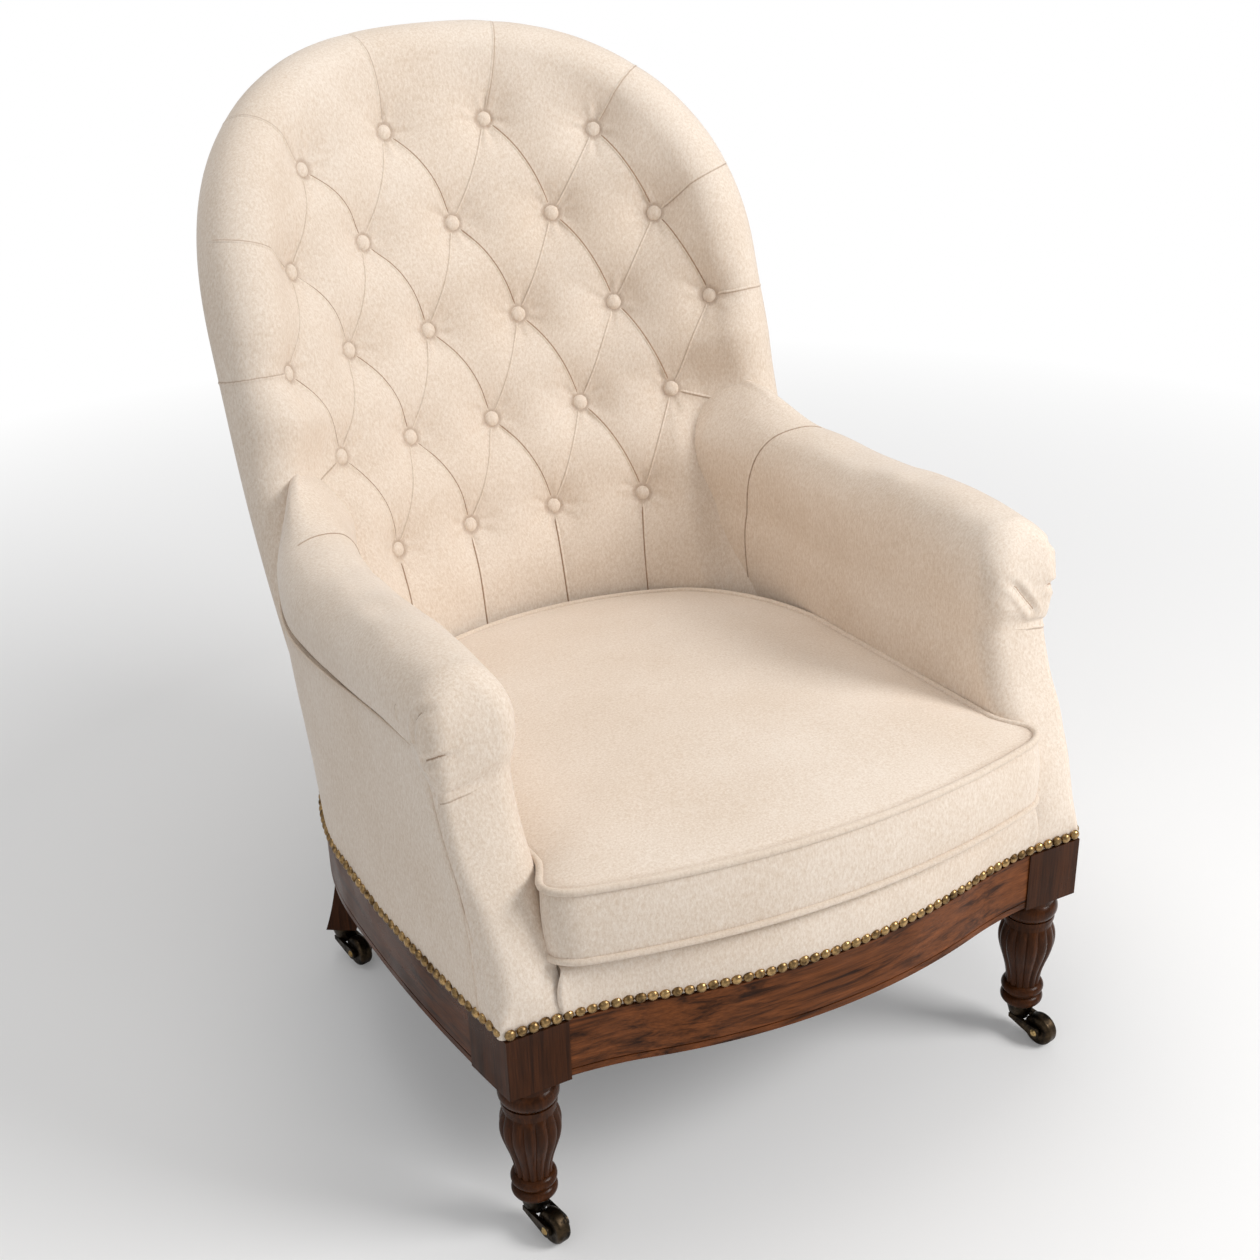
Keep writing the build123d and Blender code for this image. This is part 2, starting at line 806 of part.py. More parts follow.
def back_webbing():
    """Linen webs across the frame's front, under the stuffing."""
    near = pad_back_depth + seat_gap
    sheet = layer(near, near + web_thickness, rim_width + post_width / 2)
    side = back_half_width + overrun
    strips = []
    for k in range(-1, 2):
        x = k * web_spacing_x
        strips.append(block_from(x - web_width / 2, x + web_width / 2, -side, side,
                                 slat_foot, back_top))
    for k in range(4):
        z = slat_foot + slat_height / 2 + k * web_spacing_x
        strips.append(block_from(-side, side, -side, side, z - web_width / 2, z + web_width / 2))
    grid = strips[0]
    for strip in strips[1:]:
        grid += strip
    return back_place * biggest(sheet & grid)


def inside_back(slab):
    """Stuffed back with its rolled rim and tufts, hollow behind for the frame."""
    hollow = layer(pad_back_depth, back_thickness + overrun, rim_width)
    pad = slab - hollow
    for piece in tufts():
        pad += piece
    return above_rails(back_place * pad, seat_gap)


def outside_back():
    """Cloth-covered panel that closes the back behind the frame."""
    near = half_back - panel_thickness
    panel = layer(near, half_back - seat_gap, rim_width + seat_gap)
    return biggest(above_rails(back_place * panel, seat_gap))


# Side profile of the arm front: shares of its reach back and of its height
facing_shares = ((0.0, 0.0), (0.12, 0.255), (0.575, 0.627), (0.82, 0.78), (1.0, 1.0))


def facing_curves():
    """Curves of the arm front seen from the side, foot to neck."""
    reach = facing_neck_y - facing_foot_y
    rise = facing_top - rail_top
    points = [(0, facing_foot_y + reach * a, rail_top + rise * b) for a, b in facing_shares]
    return ThreePointArc(*points[0:3]), ThreePointArc(*points[2:5])


def facing_block(x0, x1, far_y):
    """Block between the arm front's side profile and a plane across the arm."""
    lower_arc, upper_arc = facing_curves()
    foot = lower_arc @ 0
    neck = upper_arc @ 1
    lines = Polyline((0, neck.Y, neck.Z), (0, far_y, neck.Z), (0, far_y, foot.Z),
                     (0, foot.Y, foot.Z))
    face = Face(Wire([lower_arc, upper_arc] + lines.edges()))
    return extrude(Pos(x0, 0, 0) * face, amount=x1 - x0, dir=(1, 0, 0))


def arm_front():
    """Stuffed front of the right arm under its scroll."""
    block = facing_block(arm_inner_x, seat_rear_radius, arm_front_y)
    block &= block_from(arm_inner_x, seat_rear_radius, 0, arm_front_y,
                        rail_top + seat_gap, facing_top)
    return biggest(block & leaning_block(side_panel_thickness + seat_gap))


def arm_section(y, shrink, under):
    """Section across the arm pad: inner wall and rolled top, open towards the outside."""
    inner = arm_inner_x + shrink
    outer = side_x(min(y, seat_side_run), 0) + arm_roll_overhang - shrink
    centre = (inner + outer) / 2
    half = (outer - inner) / 2
    top = arm_top - shrink
    rise = arm_roll_height - shrink
    waist = top - rise
    lean = sin(pi / 4)
    lip = outer - arm_roll_lip
    wall = arm_inner_x + arm_pad_thickness
    foot = rail_top + seat_gap
    curves = [
        Line((inner, y, foot), (inner, y, waist)),
        ThreePointArc((inner, y, waist), (centre - half * lean, y, waist + rise * lean),
                      (centre, y, top)),
        ThreePointArc((centre, y, top), (centre + half * lean, y, waist + rise * lean),
                      (outer, y, waist)),
        ThreePointArc((outer, y, waist), (outer - arm_roll_lip / 4, y, (waist + under) / 2),
                      (lip, y, under)),
        Line((lip, y, under), (wall, y, under)),
        Line((wall, y, under), (wall, y, foot)),
        Line((wall, y, foot), (inner, y, foot)),
    ]
    return closed_face(curves)


def scroll_section(y, shrink):
    """Section across the scroll's front, closed below."""
    inner = arm_inner_x + shrink
    outer = side_x(arm_front_y, 0) + arm_roll_overhang - shrink
    centre = (inner + outer) / 2
    half = (outer - inner) / 2
    waist = arm_top - arm_roll_height
    rise = arm_roll_height - shrink
    lean = sin(pi / 4)
    lip = outer - arm_roll_lip
    foot = facing_top + seat_gap
    top = (centre, y, waist + rise)
    curves = [
        ThreePointArc((inner, y, waist), (centre - half * lean, y, waist + rise * lean), top),
        ThreePointArc(top, (centre + half * lean, y, waist + rise * lean), (outer, y, waist)),
        ThreePointArc((outer, y, waist), (outer - arm_roll_lip / 4, y, (waist + arm_under) / 2),
                      (lip, y, arm_under)),
        Line((lip, y, arm_under), (lip, y, foot)),
        Line((lip, y, foot), (inner, y, foot)),
        Line((inner, y, foot), (inner, y, waist)),
    ]
    return closed_face(curves)


def inside_arm(slab_cut):
    """Padded inner wall and rolled top of the right arm, ended at the back."""
    stations = (arm_front_y, (arm_front_y + seat_side_run) / 2, seat_side_run, arm_rear_y)
    pad = loft([arm_section(y, 0, arm_under) for y in stations])
    bulge_y = (scroll_front_y + arm_front_y) / 2
    scroll = loft([
        scroll_section(scroll_front_y, scroll_round),
        scroll_section(bulge_y, scroll_round / 4),
        scroll_section(arm_front_y, 0),
    ], ruled=True)
    pad += scroll
    return biggest(ended_at_back(pad, slab_cut))


def ended_at_back(shape, slab_cut):
    """Cut off what would reach behind the front of the back's rim."""
    side = back_half_width + overrun
    core = on_back(plan_radius(back_spring), asin(rim_half_width / back_plan_radius), 0, 0)
    behind = block_from(-2 * side, 2 * side, core[1], core[1] + 2 * side, back_bottom - side,
                        back_top + side)
    return shape - back_place * behind - slab_cut


def arm_woodwork(slab_cut):
    """Upright stump and top board inside the right arm."""
    x0 = arm_inner_x + arm_pad_thickness + seat_gap
    x1 = x0 + arm_post_width
    top = arm_under - seat_gap
    y0 = arm_front_y + seat_gap
    stump_top = top - arm_rail_height
    stump = block_from(x0, x1, y0, y0 + post_depth, wood_foot, stump_top)
    board = block_from(x0, seat_rear_radius, y0, arm_rear_y, stump_top, top)
    inside = leaning_block(side_panel_thickness + seat_gap)
    board = biggest(ended_at_back(board & inside, slab_cut))
    return biggest(stump & inside), board


def lean_at(z):
    """How far back the arm's outer side has moved at a height."""
    return side_panel_lean * (z - rail_top) / (arm_under - rail_top)


def side_curves(z, inset):
    """Outer side of the arm at a height, front to rear, moved in by inset."""
    lean = lean_at(z)
    radius = seat_rear_radius - inset
    widest = (radius, seat_side_run + lean)
    front = (side_x(0, 0) - inset, 0)
    middle = (side_x(seat_side_run / 2, 0) - inset, widest[1] / 2)
    turns = [radians(rear_leg_angle * share) for share in (1 / 2, 1)]
    bend, end = [(radius * cos(a), widest[1] + radius * sin(a)) for a in turns]
    return [ThreePointArc(front, middle, widest), ThreePointArc(widest, bend, end)]


def side_zone(z, inset):
    """Plan region at a height inside the arm's outer side."""
    curves = side_curves(z, inset)
    start = curves[0] @ 0
    end = curves[1] @ 1
    lines = Polyline((end.X, end.Y), (0, end.Y), (0, start.Y), (start.X, start.Y))
    return Pos(0, 0, z) * closed_face(curves + lines.edges())


def leaning_block(inset):
    """Everything inside the arm's outer side, from the rail to the arm's underside."""
    return loft([side_zone(rail_top, inset), side_zone(arm_under, inset)], ruled=True)


def outside_arm(slab_cut):
    """Cloth-covered outer side of the right arm, leaning back towards the rear post."""
    panel = leaning_block(0) - leaning_block(side_panel_thickness)
    side = 2 * seat_rear_radius
    inner = side_x(0, 0) - side_panel_thickness * 2
    behind = facing_block(inner, side, 2 * back_foot_y)
    behind += block_from(arm_inner_x, side, arm_front_y + seat_gap, 2 * back_foot_y,
                         facing_top, arm_top)
    behind &= block_from(arm_inner_x, side, -overrun, 2 * back_foot_y,
                         rail_top + seat_gap, arm_under - seat_gap)
    return biggest((panel & behind) - slab_cut)


def deck_face(inset, front_y):
    """Plan of the sprung deck between the arms and the back."""
    half = arm_inner_x - seat_gap - inset
    rear_corner_x = half - cushion_rear_corner / 2
    side_y = cushion_side_rear_y - cushion_rear_corner / 2
    rear_y = cushion_side_rear_y + inset / 2
    curves = bow_curves(half, front_y, front_bow) + [
        Line((half, front_y), (half, side_y)),
        Line((half, side_y), (rear_corner_x, rear_y)),
        ThreePointArc((rear_corner_x, rear_y), (0, cushion_rear_y - inset),
                      (-rear_corner_x, rear_y)),
        Line((-rear_corner_x, rear_y), (-half, side_y)),
        Line((-half, side_y), (-half, front_y)),
    ]
    return closed_face(curves)


def seat_deck():
    """Stuffed platform that the cushion rests on."""
    slab = raised(deck_face(0, deck_front_y), -deck_thickness, -seat_gap)
    return deck_place * slab


def spring_canvas():
    """Canvas between the springs and the deck stuffing."""
    top = -deck_thickness - seat_gap
    return deck_place * raised(deck_face(0, deck_front_y), top - canvas_thickness, top)


def seat_springs():
    """Waisted springs that stand on the webbing under the canvas."""
    web_top = rail_bottom
    side = seat_rear_radius + overrun
    under = -deck_thickness - 2 * seat_gap - canvas_thickness
    roof = deck_place * block_from(-side, side, -side, 3 * side, under, under + 2 * side)
    solids = []
    for row in range(spring_rows):
        for column in range(spring_columns):
            x = (column - (spring_columns - 1) / 2) * spring_spacing_x
            y = spring_front_y + row * spring_spacing_y
            drop = (y - spring_radius) * tan(radians(seat_slope))
            top = deck_front_height + under - drop
            waist = (web_top + top) / 2
            body = revolved_points([
                (0, web_top), (spring_radius, web_top), (spring_waist, waist),
                (spring_radius, top), (0, top),
            ])
            solids.append(biggest(Pos(x, y, 0) * body - roof))
    return solids


def seat_webbing():
    """Jute webs tacked under the rails, crossing each other."""
    outline = seat_face(dust_inset, rail_thickness / 2)
    outline = raised(outline, rail_bottom - web_thickness, rail_bottom)
    side = seat_rear_radius + overrun
    z0 = rail_bottom - overrun
    grid = None
    for k in range(web_count_x):
        x = (k - (web_count_x - 1) / 2) * web_spacing_x
        strip = block_from(x - web_width / 2, x + web_width / 2, -side, 3 * side, z0, rail_top)
        grid = strip if grid is None else grid + strip
    for k in range(web_count_y):
        y = web_front_y + k * web_spacing_y
        grid += block_from(-side, side, y - web_width / 2, y + web_width / 2, z0, rail_top)
    webs = outline & grid
    return biggest(clear_of_blocks(webs))


def clear_of_blocks(shape):
    """Cut a sheet under the seat back from the leg blocks."""
    side = seat_rear_radius + overrun
    z1 = rail_top + overrun
    front = block_from(block_inner - seat_gap, side, -overrun, block_width + seat_gap, 0, z1)
    shape = shape - front - mirrored(front)
    reach = seat_rear_radius - rear_leg_width - seat_gap
    half = rear_leg_width / 2 + seat_gap
    rear = rear_leg_place() * block_from(reach, side + overrun, -half, half, 0, z1)
    return shape - rear - mirrored(rear)


def dust_cover():
    """Black cambric that closes the seat from below."""
    top = rail_bottom - web_thickness - dust_gap
    sheet = raised(seat_face(dust_inset, rail_thickness / 2), top - dust_thickness, top)
    return biggest(clear_of_blocks(sheet))


def front_border():
    """Covered lip that follows the front rail under the cushion."""
    half = arm_inner_x - seat_gap
    face = bow_band(half, facing_foot_y, front_bow, border_thickness)
    return raised(face, rail_top + seat_gap, rail_top + border_height)


def cushion_face(z, inset, back_shift):
    """Plan of the cushion at a height in its own frame, with rounded corners."""
    half = cushion_half_width - inset
    front = cushion_front_y + inset
    bow_y = cushion_front_y - cushion_bow + inset
    side_rear = cushion_side_rear_y + back_shift - inset
    rear = cushion_rear_y + back_shift - inset
    curves = [
        ThreePointArc((-half, front), (0, bow_y), (half, front)),
        Line((half, front), (half, side_rear)),
        ThreePointArc((half, side_rear), (0, rear), (-half, side_rear)),
        Line((-half, side_rear), (-half, front)),
    ]
    face = closed_face(curves)
    face = face.fillet_2d(cushion_rear_corner, face.vertices().sort_by(Axis.Y)[2:])
    face = face.fillet_2d(cushion_front_corner, face.vertices().sort_by(Axis.Y)[:2])
    return Pos(0, 0, z) * face


def cushion_lean(z):
    """How far the cushion's rear follows the raked back at a height."""
    return z * tan(radians(back_rake))


def seat_cushion():
    """Loose cushion: boxed sides between two seams and a crowned top."""
    h = cushion_height
    base = raised(cushion_face(0, piping_radius, 0), 0, piping_radius)
    boxing = loft([
        cushion_face(piping_radius, 0, 0),
        cushion_face(h / 2, cushion_belly, cushion_lean(h / 2)),
        cushion_face(h, 0, cushion_lean(h)),
    ])
    crown_steps = ((0.0, 0.0), (0.09, 0.42), (0.26, 0.80), (0.46, 0.96), (0.62, 1.0))
    sections = []
    for inset_share, rise_share in crown_steps:
        inset = cushion_half_width * inset_share
        sections.append(crown_face(h + cushion_crown * rise_share, inset))
    crown = loft(sections)
    cushion = base + boxing + crown
    for seam, shift in cushion_seams():
        cushion -= piping(seam, shift, seat_gap)
    return deck_place * cushion


def crown_face(z, inset):
    """Plan of the crowned top at a height, with corners that tighten as it closes in."""
    h = cushion_height
    share = 1 - inset / cushion_half_width
    full = cushion_face(z, 0, cushion_lean(h))
    centre_y = (cushion_front_y - cushion_bow / 2 + cushion_rear_y + cushion_lean(h)) / 2
    moved = Pos(0, -centre_y, -z) * full
    return Pos(0, centre_y, z) * scale(moved, by=share).face()


def cushion_seams():
    """Height and rearward shift of the lower and the upper seam."""
    return (piping_radius, 0), (cushion_height, cushion_lean(cushion_height))


def piping(z, shift, grow):
    """Round piping sewn along a seam of the cushion, or a larger one that cuts its groove."""
    wire = cushion_face(z, 0, shift).outer_wire()
    ring = Plane(origin=wire @ 0, z_dir=wire % 0) * Circle(piping_radius + grow)
    return sweep(ring.face(), path=wire)


def nail():
    """One domed nail a seat gap off the origin, its dome pointing along -y."""
    low = RegularPolygon(nail_radius, nail_sides).face()
    high = RegularPolygon(nail_radius * nail_crown_share, nail_sides).face()
    dome = loft([low, Pos(0, 0, nail_height) * high])
    return Rot(X=90) * Pos(0, 0, seat_gap) * dome


def nail_row(curves, z, lean):
    """Nails at an even pitch along plan curves, facing out of a side that leans back."""
    dome = nail()
    wire = Wire(curves)
    count = int(wire.length / nail_pitch)
    solids = []
    for k in range(count):
        at = (k + 1 / 2) / count
        point = wire @ at
        along = wire % at
        turned = Rot(Z=heading(along.X, along.Y)) * Rot(X=degrees(atan(-lean * along.X)))
        solids.append(Pos(point.X, point.Y, z) * turned * dome)
    return solids


def heading(x, y):
    """Angle of a plan direction in degrees."""
    angle = degrees(asin(y / hypot(x, y)))
    return angle if x >= 0 else degrees(pi) - angle


def back_face_point(angle, z):
    """Point on the rear face of the raked back where it crosses a level."""
    slope = radians(back_rake)
    along = (z - back_foot_z) / cos(slope)
    for step in range(4):
        x, y, up = on_back(plan_radius(along), angle, along, half_back)
        along = (z - back_foot_z + y * sin(slope)) / cos(slope)
    return x, back_foot_y + y * cos(slope) + along * sin(slope)


def back_nail_row(z):
    """Nails along the foot of the back's rear face."""
    low = (z - back_foot_z) / cos(radians(back_rake))
    radius = plan_radius(low)
    last = asin((rim_half_width - foot_narrowing(low)) / radius) - nail_row_margin / radius
    count = int(2 * last * (radius + half_back) / nail_pitch)
    dome = nail()
    solids = []
    for k in range(count):
        angle = last * (2 * (k + 1 / 2) / count - 1)
        x, y = back_face_point(angle, z)
        ahead_x, ahead_y = back_face_point(angle - last / count, z)
        turn = heading(ahead_x - x, ahead_y - y)
        tilt = degrees(asin(cos(angle) * sin(radians(back_rake))))
        solids.append(Pos(x, y, z) * Rot(Z=turn) * Rot(X=tilt) * dome)
    return solids


def nail_rows():
    """Front, right side and back rows of nails."""
    z = rail_top + nail_row_height
    half = arm_inner_x - seat_gap
    y = facing_foot_y
    front = [Line((-half_front, y), (-half, y))] + bow_curves(half, y, front_bow)
    front.append(Line((half, y), (half_front, y)))
    lean = side_panel_lean / (arm_under - rail_top)
    side = nail_row(side_curves(z, 0), z, lean)[1:]
    return nail_row(front, z, 0), side, back_nail_row(z)


def group(solids):
    """Separate solids kept in one named piece."""
    return Compound(list(solids))


def pair(name, right):
    """A right-hand piece and its mirrored left-hand twin, by name."""
    return {name + "_right": right, name + "_left": mirrored(right)}


def seat_nodes():
    """Show-wood frame, legs and what lies under the seat."""
    left, back, right = seat_rails()
    rail = front_rail()
    nodes = {"front_rail": rail, "back_rail": back}
    nodes.update({"side_rail_left": left, "side_rail_right": right})
    nodes.update(pair("front_leg", front_leg()))
    nodes.update(pair("rear_leg", rear_leg()))
    nodes["corner_braces"] = corner_braces(right, rail)
    nodes["seat_webbing"] = seat_webbing()
    nodes["dust_cover"] = dust_cover()
    nodes["seat_springs"] = group(seat_springs())
    nodes["spring_canvas"] = spring_canvas()
    nodes["seat_deck"] = seat_deck()
    nodes["front_border"] = front_border()
    return nodes


def back_nodes():
    """Stuffed back, its buttons and the frame inside it."""
    crest, post_left, post_right, slat = back_woodwork()
    return {
        "inside_back": inside_back(back_slab(0)),
        "back_buttons": group(back_place * b for b in back_buttons()),
        "back_crest": crest,
        "back_post_left": post_left,
        "back_post_right": post_right,
        "back_slat": slat,
        "back_webbing": back_webbing(),
        "outside_back": outside_back(),
    }


def arm_nodes():
    """Stuffed arms and the wood inside them."""
    slab_cut = back_place * back_slab(seat_gap)
    stump, board = arm_woodwork(slab_cut)
    nodes = pair("inside_arm", inside_arm(slab_cut))
    nodes.update(pair("arm_front", arm_front()))
    nodes.update(pair("outside_arm", outside_arm(slab_cut)))
    nodes.update(pair("arm_post", stump))
    nodes.update(pair("arm_rail", board))
    return nodes


def cushion_nodes():
    """Loose cushion and its two rows of piping."""
    lower, upper = cushion_seams()
    return {
        "seat_cushion": seat_cushion(),
        "cushion_piping_bottom": deck_place * piping(*lower, 0),
        "cushion_piping_top": deck_place * piping(*upper, 0),
    }


def nail_nodes():
    """Rows of domed nails along the foot of the upholstery."""
    front, side, back = nail_rows()
    return {
        "front_nails": group(front),
        "back_nails": group(back),
        "side_nails_right": group(side),
        "side_nails_left": group(mirrored(one) for one in side),
    }


def caster_nodes():
    """Four swivel casters."""
    shapes = {"cup": caster_cup(), "fork": caster_fork(), "axle": caster_axle(),
              "wheel": caster_wheel()}
    nodes = {}
    for name, (x, y) in caster_places().items():
        place = Pos(x, y, 0) * Rot(Z=caster_heading)
        for part, shape in shapes.items():
            nodes[f"{part}_{name}"] = place * shape
    return nodes


def main():
    """Make every piece, centre the whole over the origin and write it out."""
    nodes = seat_nodes()
    for make in (back_nodes, arm_nodes, cushion_nodes, nail_nodes, caster_nodes):
        nodes.update(make())
    boxes = [shape.bounding_box() for shape in nodes.values()]
    front = min(box.min.Y for box in boxes)
    rear = max(box.max.Y for box in boxes)
    centre = Pos(0, -(front + rear) / 2, 0)
    os.makedirs("parts", exist_ok=True)
    for name, shape in nodes.items():
        export_step(centre * shape, f"parts/{name}.step")
    print("shift along y", -(front + rear) / 2)
    print("pieces", len(nodes), "rear", rear, "front", front)


main()
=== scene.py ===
# %% [markdown]
# A deep-buttoned library armchair. The wooden frame, the casters and the springs come from the
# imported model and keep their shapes. Everything soft is made here: the tufted back, the scrolled
# arms, the cushion and its piping, the covered borders, the buttons and the rows of brass nails.
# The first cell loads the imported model, which every new piece is measured against.

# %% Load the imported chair
import math
import bmesh
import bpy
import numpy as np
from mathutils import Matrix, Vector


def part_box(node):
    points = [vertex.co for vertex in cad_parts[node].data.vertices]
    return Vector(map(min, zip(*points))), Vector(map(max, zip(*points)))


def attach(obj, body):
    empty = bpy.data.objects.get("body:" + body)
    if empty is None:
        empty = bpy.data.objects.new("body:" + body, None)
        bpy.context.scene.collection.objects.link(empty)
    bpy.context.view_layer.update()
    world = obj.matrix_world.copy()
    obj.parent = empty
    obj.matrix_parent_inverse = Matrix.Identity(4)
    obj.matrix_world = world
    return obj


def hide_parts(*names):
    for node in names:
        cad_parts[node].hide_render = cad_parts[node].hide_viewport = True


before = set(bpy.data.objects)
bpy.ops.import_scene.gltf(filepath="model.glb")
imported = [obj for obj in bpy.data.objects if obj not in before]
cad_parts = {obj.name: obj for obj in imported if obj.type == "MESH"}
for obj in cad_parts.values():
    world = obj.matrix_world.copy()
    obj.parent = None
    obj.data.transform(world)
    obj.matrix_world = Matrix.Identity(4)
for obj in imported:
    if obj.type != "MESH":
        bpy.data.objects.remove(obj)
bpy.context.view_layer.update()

front_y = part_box("front_leg_right")[0][1]
rail_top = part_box("front_rail")[1][2]

# %% [markdown]
# Every soft piece is a grid of points: a shape is a function of two parameters, worked out for the
# whole grid at once. It could be sculpted, but a formula gives the same piece on every run and is
# changed by one value. One helper turns grids into a closed mesh, and one gives a finished piece its
# body, its material and the model parts that it stands for.

# %% Grid helpers
def mesh_object(name, points, faces):
    """An object from an array of points and an array of four-sided faces."""
    mesh = bpy.data.meshes.new(name)
    mesh.vertices.add(len(points))
    mesh.vertices.foreach_set("co", np.ascontiguousarray(points, dtype=np.float32).ravel())
    mesh.loops.add(faces.size)
    mesh.loops.foreach_set("vertex_index", np.ascontiguousarray(faces, dtype=np.int32).ravel())
    mesh.polygons.add(len(faces))
    mesh.polygons.foreach_set("loop_start", np.arange(0, faces.size, 4, dtype=np.int32))
    mesh.polygons.foreach_set("use_smooth", np.ones(len(faces), dtype=bool))
    mesh.update(calc_edges=True)
    mesh.validate()
    obj = bpy.data.objects.new(name, mesh)
    bpy.context.scene.collection.objects.link(obj)
    return obj


def grid_faces(rows, cols, wrap_rows=False, wrap_cols=False, start=0):
    """Faces between neighbours on a grid of rows by cols points, joined round where it wraps."""
    i = np.arange(rows if wrap_rows else rows - 1)[:, None]
    j = np.arange(cols if wrap_cols else cols - 1)[None, :]
    near, far = i * cols, (i + 1) % rows * cols
    here, there = j + start, (j + 1) % cols + start
    corners = (near + here, near + there, far + there, far + here)
    return np.stack(np.broadcast_arrays(*corners), -1).reshape(-1, 4)


def close_up(obj, seam):
    """Merge doubled points at seams and poles, fill open ends and turn the faces outwards."""
    bm = bmesh.new()
    bm.from_mesh(obj.data)
    bmesh.ops.remove_doubles(bm, verts=bm.verts, dist=seam)
    bmesh.ops.holes_fill(bm, edges=bm.edges, sides=0)
    bmesh.ops.recalc_face_normals(bm, faces=bm.faces)
    for face in bm.faces:
        face.smooth = True
    bm.to_mesh(obj.data)
    bm.free()
    obj.data.set_sharp_from_angle(angle=math.radians(50))
    obj.data.update()
    return obj


def surface(name, grids, shade_masks=None, wrap_rows=False, wrap_cols=True, seam=1e-5):
    """One closed piece from a list of grids. Its mask of painted crease shade, from 0 to 1, darkens the
    cloth.
    """
    points, faces, count = [], [], 0
    for grid in grids:
        points.append(grid.reshape(-1, 3))
        faces.append(grid_faces(*grid.shape[:2], wrap_rows, wrap_cols, count))
        count += len(points[-1])
    obj = mesh_object(name, np.concatenate(points), np.concatenate(faces))
    if shade_masks is not None:
        values = np.clip(np.concatenate([mask.ravel() for mask in shade_masks]), 0, 1)
        layer = obj.data.attributes.new("crease", "FLOAT", "POINT")
        layer.data.foreach_set("value", values.astype(np.float32))
    return close_up(obj, seam)


def wear(obj, material, slot, body, *nodes):
    """Give a finished piece its material, its body and the parts it stands for. The slot is not used."""
    obj.data.materials.clear()
    obj.data.materials.append(material)
    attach(obj, body)
    if nodes:
        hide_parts(*nodes)
    print(obj.name, len(obj.data.polygons), "faces")
    return obj


def step(x, start=0.0, end=1.0):
    """Smooth step from 0 at start to 1 at end."""
    t = np.clip((x - start) / (end - start), 0, 1)
    return t * t * (3 - 2 * t)


def length_along(path):
    """Length from the start of a path to each of its points."""
    return np.concatenate([[0], np.cumsum(np.linalg.norm(np.diff(path, axis=0), axis=1))])


def tilted(points, angle, foot):
    """Points turned by an angle about the cross axis, top to the rear, then set on a foot."""
    x, y, z = points[..., 0], points[..., 1], points[..., 2]
    c, s = math.cos(angle), math.sin(angle)
    return np.stack([x, y * c + z * s, z * c - y * s], -1) + foot


def ripple(x, y, size, seed):
    """Soft uneven wobble between about -1 and 1, from a few crossed sine waves."""
    rng = np.random.default_rng(seed)
    total = np.zeros(np.broadcast(x, y).shape)
    for k in range(5):
        turn, phase, scale = rng.uniform(0, np.pi), rng.uniform(0, 2 * np.pi), rng.uniform(0.7, 1.6)
        total = total + np.sin((x * np.cos(turn) + y * np.sin(turn)) * 2 * np.pi * scale / size + phase)
    return total / 2.6


# %% [markdown]
# The cloth is a cream brushed linen velvet: matt, with a soft bright edge, a mottled pile and a fine
# thread texture. The mottling and the thread are one node group, because the piping and the buttons
# use them too. The group also paints shade into the colour along folds, seams and round the buttons,
# from an attribute of painted crease shade that the shapes write into their points.

# %% Node group for cloth
def node(tree, kind, out=0, **values):
    """One output of a new node. A value named in_ is an input's constant or the output that feeds it."""
    made = tree.nodes.new(kind)
    made.location = 190 * len(tree.nodes) - 2200, 0
    for key, value in values.items():
        if not key.startswith("in_"):
            setattr(made, key, value)
            continue
        socket = made.inputs[int(key[3:]) if key[3:].isdigit() else key[3:].replace("_", " ")]
        if isinstance(value, bpy.types.NodeSocket):
            tree.links.new(value, socket)
        else:
            socket.default_value = value
    return made.outputs[out] if len(made.outputs) else made


def ramp(tree, factor, *stops):
    """Colour of a ramp from (place, colour) stops."""
    colour = node(tree, "ShaderNodeValToRGB", in_Fac=factor)
    points = colour.node.color_ramp.elements
    while len(points) < len(stops):
        points.new(0.5)
    for point, (place, shade) in zip(points, stops):
        point.position = place
        point.color = (*shade, 1)
    return colour


